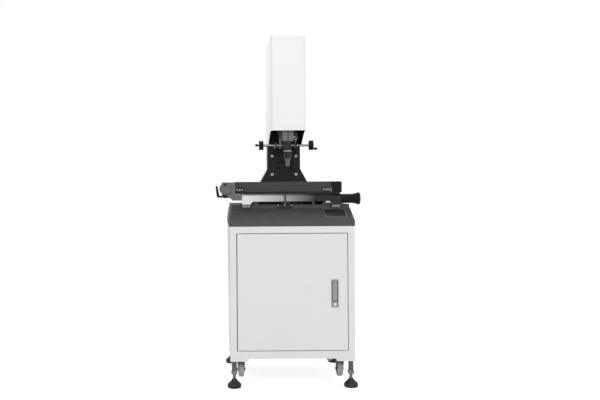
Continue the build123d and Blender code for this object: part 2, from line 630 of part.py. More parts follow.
def carriage():
    """Y carriage: plate with a light window, chamfered front bar with two feet, runners, X rails."""
    back = CARRIAGE_FRONT + CARRIAGE_DEPTH
    bar_back = CARRIAGE_FRONT + CARRIAGE_BAR_W
    bar_low = CARRIAGE_TOP - CARRIAGE_BAR_H
    plate = block(CARRIAGE_LEFT, CARRIAGE_RIGHT, bar_back, back, CARRIAGE_PLATE_LOW, CARRIAGE_TOP)
    win_x, win_y = CARRIAGE_WIN_X / 2, CARRIAGE_WIN_Y / 2
    plate -= block(-win_x, win_x, AXIS_Y - win_y, AXIS_Y + win_y, CARRIAGE_PLATE_LOW, CARRIAGE_TOP)
    save("y_carriage_plate", plate)
    outline = [(CARRIAGE_LEFT, CARRIAGE_TOP), (CARRIAGE_RIGHT, CARRIAGE_TOP),
               (CARRIAGE_RIGHT, CARRIAGE_FOOT_Z), (CARRIAGE_RIGHT - CARRIAGE_FOOT_W, CARRIAGE_FOOT_Z),
               (CARRIAGE_RIGHT - CARRIAGE_FOOT_W - CARRIAGE_FOOT_TAPER, bar_low),
               (CARRIAGE_LEFT + CARRIAGE_FOOT_W + CARRIAGE_FOOT_TAPER, bar_low),
               (CARRIAGE_LEFT + CARRIAGE_FOOT_W, CARRIAGE_FOOT_Z), (CARRIAGE_LEFT, CARRIAGE_FOOT_Z)]
    bar = prism_y(outline, CARRIAGE_FRONT, bar_back)
    relief_half = ROLLER_W / 2 + RELIEF_GAP
    bar -= block(ROLLER_X - relief_half, ROLLER_X + relief_half, CARRIAGE_FRONT, bar_back,
                 bar_low, DRIVE_BAR_TOP + RELIEF_GAP)
    front_top = bar.edges().filter_by(Axis.X).group_by(Axis.Z)[-1].group_by(Axis.Y)[0]
    save("y_carriage_front_bar", chamfer(front_top, CARRIAGE_CHAMFER))
    runners = []
    for x in (-RAIL_X, RAIL_X):
        for y in (RUNNER_FRONT_Y, RUNNER_BACK_Y):
            runners.append(runner(x, y, BLOCK_L, RAIL_W, BLOCK_WALL, BASE_TOP + RUNNER_LIFT,
                                  RAIL_TOP, CARRIAGE_PLATE_LOW, False))
    save("y_runners", *runners)
    rails = [block(CARRIAGE_LEFT, CARRIAGE_RIGHT, y - XRAIL_W / 2, y + XRAIL_W / 2,
                   CARRIAGE_TOP, XRAIL_TOP) for y in XRAIL_YS]
    save("x_rails", *rails)
    tube_end = CARRIAGE_RIGHT + Y_TUBE_LEN
    flange_back = Y_DRIVE_Y + Y_TUBE_R
    tube = rod_x(Y_TUBE_R, CARRIAGE_RIGHT, tube_end, Y_DRIVE_Y, Y_DRIVE_Z)
    tube -= rod_x(DRIVE_SHAFT_R + RUNNING_GAP, CARRIAGE_RIGHT, tube_end, Y_DRIVE_Y, Y_DRIVE_Z)
    hanger = block(CARRIAGE_RIGHT - HANGER_THICK, CARRIAGE_RIGHT, bar_back, flange_back,
                   bar_low, CARRIAGE_PLATE_LOW)
    inner = block(ROLLER_X - HANGER_THICK - ROLLER_W, ROLLER_X - ROLLER_W, bar_back, flange_back,
                  bar_low, CARRIAGE_PLATE_LOW)
    bore = rod_x(DRIVE_SHAFT_R + RUNNING_GAP, CARRIAGE_LEFT, CARRIAGE_RIGHT, Y_DRIVE_Y, Y_DRIVE_Z)
    save("y_drive_bearings", tube, hanger - bore, inner - bore)
    knob_start = tube_end + MOVING_GAP
    neck_end = knob_start + Y_KNOB_LEN - Y_KNOB_FLANGE
    end = knob_start + Y_KNOB_LEN
    shaft_start = ROLLER_X - ROLLER_W - HANGER_THICK
    knob = [(0, shaft_start), (DRIVE_SHAFT_R, shaft_start), (DRIVE_SHAFT_R, ROLLER_X - ROLLER_W / 2),
            (ROLLER_R, ROLLER_X - ROLLER_W / 2), (ROLLER_R, ROLLER_X + ROLLER_W / 2),
            (DRIVE_SHAFT_R, ROLLER_X + ROLLER_W / 2), (DRIVE_SHAFT_R, knob_start),
            (Y_KNOB_NECK, knob_start), (Y_KNOB_NECK, neck_end), (Y_KNOB_R, neck_end),
            (Y_KNOB_R, end), (0, end)]
    save("y_drive_knob", turned(knob, 0, Y_DRIVE_Y, Y_DRIVE_Z, (0, 90, 0)))


def table():
    """X table: frame with a glass window, runners, end block and the handwheel bracket."""
    back = CARRIAGE_FRONT + CARRIAGE_DEPTH
    bar_back = CARRIAGE_FRONT + CARRIAGE_BAR_W
    plate_low = TABLE_TOP - TABLE_PLATE
    body_right = TABLE_RIGHT - END_BLOCK_LEN
    frame = block(TABLE_LEFT, body_right, CARRIAGE_FRONT, back, plate_low, TABLE_TOP)
    frame += block(TABLE_LEFT, body_right, CARRIAGE_FRONT, bar_back, TABLE_BOTTOM, plate_low)
    frame += block(body_right, TABLE_RIGHT, bar_back, back, plate_low, TABLE_TOP)
    for x0 in (TABLE_LEFT, body_right - NOTCH_W):
        frame -= block(x0, x0 + NOTCH_W, CARRIAGE_FRONT, bar_back, TABLE_BOTTOM, TABLE_BOTTOM + NOTCH_H)
    pocket = [GLASS_MID_X - GLASS_X / 2 - GLASS_GAP, GLASS_MID_X + GLASS_X / 2 + GLASS_GAP]
    pocket += [GLASS_MID_Y - GLASS_Y / 2 - GLASS_GAP, GLASS_MID_Y + GLASS_Y / 2 + GLASS_GAP]
    frame -= block(*pocket, TABLE_TOP - GLASS_THICK, TABLE_TOP)
    frame -= block(pocket[0] + GLASS_LEDGE, pocket[1] - GLASS_LEDGE, pocket[2] + GLASS_LEDGE,
                   pocket[3] - GLASS_LEDGE, plate_low, TABLE_TOP)
    save("x_table", frame)
    glass = Box(GLASS_X, GLASS_Y, GLASS_THICK)
    save("stage_glass", Pos(GLASS_MID_X, GLASS_MID_Y, TABLE_TOP - GLASS_THICK / 2) * glass)
    end = block(body_right, TABLE_RIGHT, CARRIAGE_FRONT - END_BLOCK_PROUD, bar_back, END_BLOCK_LOW, TABLE_TOP)
    corner = end.edges().filter_by(Axis.Y).group_by(Axis.Z)[-1].group_by(Axis.X)[-1]
    save("x_table_end_block", fillet(corner, END_BLOCK_ROUND))
    runners = []
    for y in XRAIL_YS:
        for x in (XRUNNER_LEFT, XRUNNER_RIGHT):
            runners.append(runner(x, y, XBLOCK_L, XRAIL_W, XBLOCK_WALL, CARRIAGE_TOP + XRUNNER_LIFT,
                                  XRAIL_TOP, plate_low, True))
    save("x_runners", *runners)
    low, cut = BRACKET_LOW, BRACKET_CHAMFER
    top = TABLE_TOP - BRACKET_STEP
    bracket_back = CARRIAGE_FRONT - MOVING_GAP
    outline = [(BRACKET_LEFT, top), (TABLE_LEFT, top), (TABLE_LEFT, low),
               (TABLE_LEFT - cut, low), (TABLE_LEFT - 2 * cut, low + cut), (RELEASE_X - cut, low + cut),
               (BRACKET_LEFT, low + 2 * cut)]
    bracket = prism_y(outline, BRACKET_FRONT, bracket_back)
    bracket += block(BRACKET_LEFT, TABLE_LEFT, bracket_back, bar_back + cut, TABLE_BOTTOM, top)
    box_back = CARRIAGE_FRONT - BRACKET_STEP
    bracket += block(TABLE_LEFT, ROLLER_BOX_RIGHT, BRACKET_FRONT, box_back, low, CARRIAGE_TOP)
    bracket -= rod_y(DRIVE_SHAFT_R + RUNNING_GAP, BRACKET_FRONT, bracket_back, X_WHEEL_X, X_WHEEL_Z)
    bracket -= rod_y(RELEASE_PIN_R + RUNNING_GAP, BRACKET_FRONT, bracket_back, RELEASE_X, RELEASE_Z)
    save("x_drive_bracket", bracket)
    face = BRACKET_FRONT - MOVING_GAP
    wheel = rod_y(X_WHEEL_R, face - X_WHEEL_LEN, face, X_WHEEL_X, X_WHEEL_Z)
    wheel += rod_y(DRIVE_SHAFT_R, face, bracket_back, X_WHEEL_X, X_WHEEL_Z)
    grip_z = X_WHEEL_Z + X_GRIP_OFFSET
    save("x_drive_handwheel", wheel)
    grip_back = face - X_WHEEL_LEN
    save("x_drive_grip", rod_y(X_GRIP_R, grip_back - X_GRIP_LEN, grip_back, X_WHEEL_X, grip_z))
    arm_x, rise, t = RELEASE_X - RELEASE_ARM, RELEASE_Z + RELEASE_RISE, RELEASE_THICK / 2
    lever_outline = [(RELEASE_X + t, RELEASE_Z - t), (RELEASE_X + t, RELEASE_Z + t),
                     (arm_x + t, RELEASE_Z + t), (arm_x - t, rise), (arm_x - 3 * t, rise),
                     (arm_x - 2 * t, RELEASE_Z + t), (arm_x - t, RELEASE_Z - t)]
    lever = prism_y(lever_outline, face - RELEASE_THICK, face)
    lever += rod_y(RELEASE_PIN_R, face, bracket_back, RELEASE_X, RELEASE_Z)
    save("quick_release_lever", lever)


def column():
    """Hollow column casting on a flared foot, with four screws and the cover's fixing strips."""
    outline = [(-FLARE_HALF, BASE_TOP), (FLARE_HALF, BASE_TOP), (FLARE_HALF, BASE_TOP + FLARE_EDGE),
               (COLUMN_PLATE_HALF, FLARE_TOP), (-COLUMN_PLATE_HALF, FLARE_TOP),
               (-FLARE_HALF, BASE_TOP + FLARE_EDGE)]
    side = [(COLUMN_FRONT, BASE_TOP), (FLARE_BACK, BASE_TOP), (FLARE_BACK, BASE_TOP + FLARE_EDGE),
            (COLUMN_BACK, FLARE_TOP), (COLUMN_FRONT, FLARE_TOP)]
    foot = prism_y(outline, COLUMN_FRONT, FLARE_BACK) & prism_x(side, -FLARE_HALF, FLARE_HALF)
    foot += block(-COLUMN_PLATE_HALF, COLUMN_PLATE_HALF, COLUMN_FRONT, COLUMN_BACK,
                  FLARE_TOP, COLUMN_PLATE_TOP)
    mast = block(-COLUMN_HALF, COLUMN_HALF, COLUMN_FRONT, COLUMN_BACK, COLUMN_PLATE_TOP, COLUMN_TOP)
    casting = foot + mast
    inner = COLUMN_HALF - COLUMN_WALL
    casting -= block(-inner, inner, COLUMN_FRONT + COLUMN_WALL, COLUMN_BACK - COLUMN_WALL,
                     BASE_TOP, COLUMN_TOP - COLUMN_WALL)
    casting -= block(-RECESS_HALF, RECESS_HALF, COLUMN_FRONT, COLUMN_FRONT + RECESS_DEPTH,
                     RECESS_LOW, RECESS_HIGH)
    save("column_casting", casting)
    screws = []
    for x in (-SCREW_X, SCREW_X):
        for z in (SCREW_LOW, SCREW_HIGH):
            screws.append(rod_y(SCREW_HEAD_R, COLUMN_FRONT - SCREW_HEAD_H, COLUMN_FRONT, x, z))
    save("column_screws", *screws)
    guide_front = COLUMN_FRONT - GUIDE_DEPTH
    save("z_guide_rail", block(-GUIDE_HALF, GUIDE_HALF, guide_front, COLUMN_FRONT, GUIDE_LOW, GUIDE_HIGH))


def cover():
    """Folded sheet cover, open below, with a lower edge that drops towards the column."""
    def hood(wall):
        low, mid_low, rear_low = COVER_LOW - wall, COVER_MID_LOW - wall, COVER_REAR_LOW - wall
        points = [(COVER_FRONT + wall, low), (COVER_MID_Y, mid_low), (COVER_REAR_Y, rear_low),
                  (COVER_BACK - wall, rear_low), (COVER_BACK - wall, COVER_TOP - wall),
                  (COVER_FRONT + wall, COVER_TOP - wall)]
        solid = prism_x(points, wall - COVER_HALF, COVER_HALF - wall)
        corners = solid.edges().filter_by(Axis.Z).group_by(Axis.Y)[0]
        return fillet(corners, COVER_ROUND - wall)

    inner = COVER_HALF - SHEET
    strip = block(COLUMN_HALF, inner, COLUMN_FRONT + COLUMN_WALL, COLUMN_BACK - COLUMN_WALL,
                  STRIP_LOW, STRIP_HIGH)
    save("head_cover_and_strips", hood(0) - hood(SHEET), strip, mirror(strip, Plane.YZ))


def head():
    """Camera, zoom lens, clamp and slide: everything that rises and falls together."""
    clamp_front, clamp_back = AXIS_Y - CLAMP_HALF, AXIS_Y + CLAMP_HALF
    clamp = block(-CLAMP_HALF, CLAMP_HALF, clamp_front, clamp_back, CLAMP_LOW, CLAMP_HIGH)
    clamp -= rod_z(LENS_R, CLAMP_LOW, CLAMP_HIGH, 0, AXIS_Y)
    clamp -= block(-CLAMP_SLOT / 2, CLAMP_SLOT / 2, clamp_front, AXIS_Y, CLAMP_LOW, CLAMP_HIGH)
    save("lens_clamp", clamp)
    seat = LENS_R - RING_SEAT
    ring_high = ZOOM_RING_LOW + ZOOM_RING_H
    lens = [(0, LENS_LOW), (LENS_R, LENS_LOW), (LENS_R, ZOOM_RING_LOW), (seat, ZOOM_RING_LOW),
            (seat, ring_high),
            (LENS_R, ring_high), (LENS_R, CLAMP_HIGH), (0, CLAMP_HIGH)]
    save("zoom_lens_barrel", turned(lens, 0, AXIS_Y, 0))
    inner = seat + RUNNING_GAP
    low, high = ZOOM_RING_LOW + RING_GAP, ring_high - RING_GAP
    ring = [(inner, low), (ZOOM_RING_R, low), (ZOOM_RING_R, high), (inner, high)]
    save("zoom_ring", turned(ring, 0, AXIS_Y, 0))
    tip = [(0, TIP_LOW), (TIP_R, TIP_LOW), (TIP_R, TIP_SHOULDER), (OBJECTIVE_TOP_R, LENS_LOW),
           (0, LENS_LOW)]
    save("objective_lens", turned(tip, 0, AXIS_Y, 0))
    save("camera_body", block(-CAMERA_HALF, CAMERA_HALF, AXIS_Y - CAMERA_HALF, AXIS_Y + CAMERA_HALF,
                              CLAMP_HIGH, CAMERA_HIGH))
    slide_front = COLUMN_FRONT - SLIDE_THICK - GUIDE_DEPTH / 2
    slide_back = COLUMN_FRONT - SLIDE_LIFT
    slide = block(-SLIDE_HALF, SLIDE_HALF, slide_front, slide_back, SLIDE_LOW, SLIDE_HIGH)
    groove = GUIDE_HALF + BLOCK_GAP
    slide -= block(-groove, groove, COLUMN_FRONT - GUIDE_DEPTH - BLOCK_GAP, COLUMN_FRONT,
                   SLIDE_LOW, SLIDE_HIGH)
    save("z_slide", slide)
    arm = block(-ARM_HALF, ARM_HALF, clamp_back, slide_front, ARM_LOW, CLAMP_HIGH)
    belt_back = SHAFT_Y + PULLEY_R + BELT_THICK + BELT_GAP
    belt_left = PULLEY_X - BELT_WIDTH / 2
    jaw = block(belt_left, -ARM_HALF, belt_back, belt_back + BELT_JAW, ARM_LOW, CLAMP_HIGH)
    save("head_arm", arm + jaw)


def vertical_drive():
    """Handwheel shaft in two hangers, with pulley, belt loop and idler, and a wheel at each end."""
    hangers = []
    drop, lift = SHAFT_Z - HANGER_DROP, SHAFT_Z + HANGER_DROP
    for x in (HANGER_LEFT, HANGER_RIGHT):
        plate = block(x, x + HANGER_THICK, SHAFT_Y - HANGER_DROP, COLUMN_FRONT, drop, lift)
        hangers.append(plate - rod_x(SHAFT_R + RUNNING_GAP, x, x + HANGER_THICK, SHAFT_Y, SHAFT_Z))
    half = PULLEY_LEN / 2
    shaft = rod_x(SHAFT_R, WHEEL_L_X, WHEEL_R_X, SHAFT_Y, SHAFT_Z)
    shaft += rod_x(PULLEY_R, PULLEY_X - half, PULLEY_X + half, SHAFT_Y, SHAFT_Z)
    save("handwheel_shaft", shaft)
    pulley = rod_x(PULLEY_R, PULLEY_X - half, PULLEY_X + half, SHAFT_Y, IDLER_Z)
    idler_bore = rod_x(IDLER_PIN_R + RUNNING_GAP, PULLEY_X - half, PULLEY_X + half, SHAFT_Y, IDLER_Z)
    save("belt_idler", pulley - idler_bore)
    support = block(HANGER_LEFT, HANGER_LEFT + HANGER_THICK, SHAFT_Y - HANGER_DROP, COLUMN_FRONT,
                    IDLER_Z - HANGER_DROP, IDLER_Z + HANGER_DROP)
    support += rod_x(IDLER_PIN_R, HANGER_LEFT, PULLEY_X + half, SHAFT_Y, IDLER_Z)
    save("shaft_and_idler_hangers", *hangers, support)
    inner = PULLEY_R + BELT_GAP
    outer = inner + BELT_THICK
    height = IDLER_Z - SHAFT_Z
    place = Pos(PULLEY_X - BELT_WIDTH / 2, SHAFT_Y, (SHAFT_Z + IDLER_Z) / 2)
    band = SlotCenterToCenter(height, 2 * outer) - SlotCenterToCenter(height, 2 * inner)
    save("toothed_belt", place * extrude(Plane.YZ * Rot(0, 0, 90) * band, BELT_WIDTH, dir=(1, 0, 0)))
    wheels, grips = [], []
    for sign, x, grip_y, grip_z in ((-1, WHEEL_L_X, SHAFT_Y - GRIP_OFFSET, SHAFT_Z),
                                    (1, WHEEL_R_X, SHAFT_Y, SHAFT_Z - GRIP_OFFSET)):
        inner_x = x - sign * WHEEL_THICK
        edges = sorted((x, inner_x))
        wheel = rod_x(WHEEL_R, *edges, SHAFT_Y, SHAFT_Z) - rod_x(SHAFT_R, *edges, SHAFT_Y, SHAFT_Z)
        tip = x + sign * GRIP_LEN
        wheels.append(wheel)
        grips.append(rod_x(GRIP_R, *sorted((x, tip)), grip_y, grip_z))
    save("handwheels", *wheels)
    save("handwheel_grips", *grips)


cabinet()
door_and_pivots()
door_lock()
feet_and_casters()
base()
transport_lock()
carriage()
table()
column()
cover()
head()
vertical_drive()
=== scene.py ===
import math

import bpy
import numpy as np
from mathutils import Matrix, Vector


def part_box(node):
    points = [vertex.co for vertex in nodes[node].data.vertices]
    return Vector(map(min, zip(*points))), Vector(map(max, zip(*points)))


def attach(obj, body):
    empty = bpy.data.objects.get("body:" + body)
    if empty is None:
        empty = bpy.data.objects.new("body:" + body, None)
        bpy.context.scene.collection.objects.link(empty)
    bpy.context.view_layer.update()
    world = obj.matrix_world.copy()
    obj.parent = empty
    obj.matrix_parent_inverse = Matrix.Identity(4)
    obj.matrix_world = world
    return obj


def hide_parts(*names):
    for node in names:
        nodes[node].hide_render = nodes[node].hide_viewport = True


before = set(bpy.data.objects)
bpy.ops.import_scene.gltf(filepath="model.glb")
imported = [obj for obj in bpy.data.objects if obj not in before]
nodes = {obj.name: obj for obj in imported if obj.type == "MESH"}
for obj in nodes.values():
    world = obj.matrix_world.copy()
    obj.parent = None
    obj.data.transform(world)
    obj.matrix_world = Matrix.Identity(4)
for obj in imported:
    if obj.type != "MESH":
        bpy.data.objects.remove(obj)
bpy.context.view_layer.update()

# Studio. The machine stands alone on a plain pale floor in front of a white background.
# The camera stands 3.6 m in front of the cabinet, left of its middle and level, rolled a little,
# and the picture is framed by shifting the lens, so upright edges stay upright.
CAMERA_PLACE = (-0.357, -3.885, 0.940)
CAMERA_ROLL = math.radians(0.4)
FRAME_WIDTH = 600
FOCAL_PIXELS = 777.5
SENSOR_MM = 36.0
VIEW_CENTRE_X = 85.2
VIEW_CENTRE_Y = 14.0
FLOOR_SIZE = 14.0
FLOOR_COLOUR = (0.93, 0.93, 0.93, 1)
FLOOR_LIFT = 0.55
FLOOR_ROUGH = 0.9
WHITE = (1, 1, 1, 1)
SOFT_FILL = 0.62
# Each lamp has its name, place, aim, side in metres and power in watts.
LAMPS = (
    ("key", (-0.8, -4.3, 2.9), (0.0, 0.0, 0.9), 2.4, 52),
    ("fill", (2.6, -3.0, 1.8), (0.0, 0.0, 0.8), 2.6, 22),
    ("top", (0.2, 0.4, 4.2), (0.0, 0.0, 0.8), 2.2, 30),
    ("back", (-1.6, 3.2, 2.4), (0.0, 0.2, 0.8), 2.4, 26),
)

camera_data = bpy.data.cameras.new("camera")
camera_data.sensor_width = SENSOR_MM
camera_data.lens = SENSOR_MM * FOCAL_PIXELS / FRAME_WIDTH
camera_data.shift_x = VIEW_CENTRE_X / FRAME_WIDTH
camera_data.shift_y = -VIEW_CENTRE_Y / FRAME_WIDTH
camera = bpy.data.objects.new("camera", camera_data)
camera.location = CAMERA_PLACE
camera.rotation_euler = (math.pi / 2, CAMERA_ROLL, 0)
bpy.context.scene.collection.objects.link(camera)
bpy.context.scene.camera = camera
bpy.context.scene.view_settings.view_transform = "Standard"

for name, place, aim, size, power in LAMPS:
    lamp = bpy.data.lights.new(name, "AREA")
    lamp.energy = power
    lamp.size = size
    lamp_object = bpy.data.objects.new(name, lamp)
    lamp_object.location = place
    toward = np.subtract(aim, place)
    flat = math.hypot(toward[0], toward[1])
    heading = math.atan2(toward[1], toward[0]) - math.pi / 2
    lamp_object.rotation_euler = (math.atan2(flat, -toward[2]), 0, heading)
    bpy.context.scene.collection.objects.link(lamp_object)

world = bpy.data.worlds.new("studio")
bpy.context.scene.world = world
world.use_nodes = True
sky = world.node_tree
sky.nodes.clear()
rays = sky.nodes.new("ShaderNodeLightPath")
seen = sky.nodes.new("ShaderNodeMath")
seen.operation = "MAXIMUM"
soft = sky.nodes.new("ShaderNodeBackground")
soft.inputs["Color"].default_value = WHITE
soft.inputs["Strength"].default_value = SOFT_FILL
plain = sky.nodes.new("ShaderNodeBackground")
plain.inputs["Color"].default_value = WHITE
plain.inputs["Strength"].default_value = 1.0
either = sky.nodes.new("ShaderNodeMixShader")
outdoors = sky.nodes.new("ShaderNodeOutputWorld")
sky.links.new(rays.outputs["Is Camera Ray"], seen.inputs[0])
sky.links.new(rays.outputs["Is Transmission Ray"], seen.inputs[1])
sky.links.new(seen.outputs[0], either.inputs[0])
sky.links.new(soft.outputs[0], either.inputs[1])
sky.links.new(plain.outputs[0], either.inputs[2])
sky.links.new(either.outputs[0], outdoors.inputs["Surface"])

floor_mesh = bpy.data.meshes.new("floor")
half_floor = FLOOR_SIZE / 2
floor_mesh.from_pydata([(-half_floor, -half_floor, 0), (half_floor, -half_floor, 0),
                        (half_floor, half_floor, 0), (-half_floor, half_floor, 0)], [], [(0, 1, 2, 3)])
floor = bpy.data.objects.new("floor", floor_mesh)
bpy.context.scene.collection.objects.link(floor)
floor_paint = bpy.data.materials.new("pale floor")
floor_paint.use_nodes = True
ground = floor_paint.node_tree
ground_shader = ground.nodes["Principled BSDF"]
ground_shader.inputs["Base Color"].default_value = FLOOR_COLOUR
ground_shader.inputs["Roughness"].default_value = FLOOR_ROUGH
ground_rays = ground.nodes.new("ShaderNodeLightPath")
lift = ground.nodes.new("ShaderNodeMath")
lift.operation = "MULTIPLY"
lift.inputs[1].default_value = FLOOR_LIFT
glow = ground.nodes.new("ShaderNodeEmission")
both = ground.nodes.new("ShaderNodeAddShader")
ground.links.new(ground_rays.outputs["Is Camera Ray"], lift.inputs[0])
ground.links.new(lift.outputs[0], glow.inputs["Strength"])
ground.links.new(ground_shader.outputs["BSDF"], both.inputs[0])
ground.links.new(glow.outputs["Emission"], both.inputs[1])
ground.links.new(both.outputs[0], ground.nodes["Material Output"].inputs["Surface"])
floor_mesh.materials.append(floor_paint)


# Cabinet. Folded mild-steel panels, a welded front frame and a thick top plate, powder coated in a
# smooth off-white enamel with a faint orange-peel skin. Pressed louvres let the heat out behind.
CABINET_TINT = (0.760, 0.760, 0.750)
CABINET_SHADE = (0.720, 0.720, 0.708)
LOUVRES = 6
LOUVRE_LOW = 0.520
LOUVRE_PITCH = 0.018
LOUVRE_HALF = 0.088
LOUVRE_PROUD = 0.005
LOUVRE_SHEET = 0.0012
LOUVRE_RISE = 0.009
LOUVRE_END = 0.985
LOUVRE_STEPS = 25
HOOD_STEPS = 9
CLOUD_DETAIL = 6.0
PEEL_DETAIL = 2.0
PEEL_FINER = 12
BEVEL_SAMPLES = 3
WEAR_FROM = 0.995
WEAR_FULL = 0.80


def finish(name, light, dark, rough, spread=0.06, metal=0.0, grain=60.0, stretch=(1, 1, 1),
           skin=0.02, skin_depth=0.0002, edge=0.0006, coat=0.0, wear=None, clear=0.0, shine=0.5):
    """A procedural surface finish.

    Colour runs from dark to light with soft noise of the given grain (cycles per metre) stretched
    along the axes; roughness varies by spread about rough; a finer noise raises the surface by
    skin times skin_depth metres; edges look rounded by edge metres. Where the rounded normal b
    leaves the flat normal n, the colour turns to wear: not at all at b.n = WEAR_FROM, wholly at
    WEAR_FULL. Coat, clear and shine are the shader's coat, transmission and specular level."""
    material = bpy.data.materials.new(name)
    material.use_nodes = True
    tree = material.node_tree
    shader = tree.nodes["Principled BSDF"]
    shader.inputs["Metallic"].default_value = metal
    shader.inputs["Coat Weight"].default_value = coat
    shader.inputs["Transmission Weight"].default_value = clear
    shader.inputs["Specular IOR Level"].default_value = shine
    place = tree.nodes.new("ShaderNodeTexCoord")
    spread_out = tree.nodes.new("ShaderNodeMapping")
    spread_out.inputs["Scale"].default_value = stretch
    cloud = tree.nodes.new("ShaderNodeTexNoise")
    cloud.inputs["Scale"].default_value = grain
    cloud.inputs["Detail"].default_value = CLOUD_DETAIL
    tint = tree.nodes.new("ShaderNodeMix")
    tint.data_type = "RGBA"
    tint.inputs["A"].default_value = (*dark, 1)
    tint.inputs["B"].default_value = (*light, 1)
    gloss = tree.nodes.new("ShaderNodeMapRange")
    gloss.inputs["To Min"].default_value = rough - spread
    gloss.inputs["To Max"].default_value = rough + spread
    peel = tree.nodes.new("ShaderNodeTexNoise")
    peel.inputs["Scale"].default_value = grain * PEEL_FINER
    peel.inputs["Detail"].default_value = PEEL_DETAIL
    relief = tree.nodes.new("ShaderNodeBump")
    relief.inputs["Strength"].default_value = skin
    relief.inputs["Distance"].default_value = skin_depth
    rounding = tree.nodes.new("ShaderNodeBevel")
    rounding.samples = BEVEL_SAMPLES
    rounding.inputs["Radius"].default_value = edge
    link = tree.links.new
    link(place.outputs["Object"], spread_out.inputs["Vector"])
    link(spread_out.outputs["Vector"], cloud.inputs["Vector"])
    link(spread_out.outputs["Vector"], peel.inputs["Vector"])
    link(cloud.outputs["Fac"], tint.inputs["Factor"])
    link(cloud.outputs["Fac"], gloss.inputs["Value"])
    link(gloss.outputs["Result"], shader.inputs["Roughness"])
    link(peel.outputs["Fac"], relief.inputs["Height"])
    link(rounding.outputs["Normal"], relief.inputs["Normal"])
    link(relief.outputs["Normal"], shader.inputs["Normal"])
    if wear is None:
        link(tint.outputs["Result"], shader.inputs["Base Color"])
        return material
    face = tree.nodes.new("ShaderNodeNewGeometry")
    agree = tree.nodes.new("ShaderNodeVectorMath")
    agree.operation = "DOT_PRODUCT"
    rubbed = tree.nodes.new("ShaderNodeMapRange")
    rubbed.inputs["From Min"].default_value = WEAR_FROM
    rubbed.inputs["From Max"].default_value = WEAR_FULL
    worn = tree.nodes.new("ShaderNodeMix")
    worn.data_type = "RGBA"
    worn.inputs["B"].default_value = (*wear, 1)
    link(rounding.outputs["Normal"], agree.inputs[0])
    link(face.outputs["Normal"], agree.inputs[1])
    link(agree.outputs["Value"], rubbed.inputs["Value"])
    link(rubbed.outputs["Result"], worn.inputs["Factor"])
    link(tint.outputs["Result"], worn.inputs["A"])
    link(worn.outputs["Result"], shader.inputs["Base Color"])
    return material


def fade(material, axis, start, stop, first, last):
    """Colour a finish along one axis: first up to start, last from stop, straight between them."""
    tree = material.node_tree
    link = tree.links.new
    place = tree.nodes.new("ShaderNodeTexCoord")
    axes = tree.nodes.new("ShaderNodeSeparateXYZ")
    share = tree.nodes.new("ShaderNodeMapRange")
    share.inputs["From Min"].default_value = start
    share.inputs["From Max"].default_value = stop
    mixed = tree.nodes.new("ShaderNodeMix")
    mixed.data_type = "RGBA"
    mixed.inputs["A"].default_value = (*first, 1)
    mixed.inputs["B"].default_value = (*last, 1)
    link(place.outputs["Object"], axes.inputs[0])
    link(axes.outputs[axis], share.inputs["Value"])
    link(share.outputs["Result"], mixed.inputs["Factor"])
    link(mixed.outputs["Result"], tree.nodes["Principled BSDF"].inputs["Base Color"])


def dress(material, *names):
    """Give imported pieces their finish."""
    for piece in names:
        mesh = nodes[piece].data
        mesh.materials.clear()
        mesh.materials.append(material)


def skin(rings, looped=False):
    """Vertices and faces of a stack of rings, P(i, j) with ring i and point j.

    Quads join ring i to i + 1 and point j to j + 1, so a right-handed stack faces outward. The two
    end rings are closed by one face each, or the last ring joins the first when looped."""
    count, around = rings.shape[:2]
    i = np.arange(count if looped else count - 1)[:, None]
    j = np.arange(around)[None, :]
    following = (i + 1) % count
    beside = (j + 1) % around
    corners = (i * around + j, i * around + beside, following * around + beside, following * around + j)
    faces = np.stack(np.broadcast_arrays(*corners), -1).reshape(-1, 4).tolist()
    if not looped:
        faces.append(list(range(around - 1, -1, -1)))
        faces.append(list(range((count - 1) * around, count * around)))
    return rings.reshape(-1, 3), faces


def add_piece(name, body, parts, replaced=(), crease=38):
    """Join (skin, material) pairs into one object that rides on a body."""
    points, faces, looks, materials = [], [], [], []
    for (corners, quads), material in parts:
        if material not in materials:
            materials.append(material)
        start = len(points)
        points.extend(corners.tolist())
        faces.extend([[start + k for k in quad] for quad in quads])
        looks.extend([materials.index(material)] * len(quads))
    mesh = bpy.data.meshes.new(name)
    mesh.from_pydata(points, [], faces)
    for material in materials:
        mesh.materials.append(material)
    mesh.polygons.foreach_set("material_index", looks)
    mesh.polygons.foreach_set("use_smooth", [True] * len(faces))
    mesh.set_sharp_from_angle(angle=math.radians(crease))
    piece = bpy.data.objects.new(name, mesh)
    bpy.context.scene.collection.objects.link(piece)
    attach(piece, body)
    if replaced:
        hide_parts(*replaced)
    return piece


def louvre(low):
    """A pressed hood along X over a slot whose lower edge is at height low.

    Ring s in -1..1 lies at X = half s, scaled by e = sqrt(1 - s^6). Its outer arc runs from the
    wall above the slot to the hood's lip, y = wall + proud e sin(a), z = top - rise e a / 90 deg,
    and its inner arc comes back one sheet thickness inside."""
    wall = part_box("cabinet_panels")[1][1]
    top = low + LOUVRE_RISE
    s = np.linspace(-LOUVRE_END, LOUVRE_END, LOUVRE_STEPS)
    swell = np.sqrt(1 - s ** 6)[:, None]
    turn = np.linspace(0, np.pi / 2, HOOD_STEPS)
    outer_y = wall + LOUVRE_PROUD * swell * np.sin(turn)
    outer_z = top - LOUVRE_RISE * swell * turn / (np.pi / 2)
    inner_y = wall + (LOUVRE_PROUD - LOUVRE_SHEET) * swell * np.sin(turn[::-1])
    inner_z = top - LOUVRE_SHEET - (LOUVRE_RISE - LOUVRE_SHEET) * swell * turn[::-1] / (np.pi / 2)
    y = np.concatenate((outer_y, inner_y), 1)
    z = np.concatenate((outer_z, inner_z), 1)
    x = np.broadcast_to(LOUVRE_HALF * s[:, None], y.shape)
    return skin(np.stack((x, y, z), -1)[::-1])


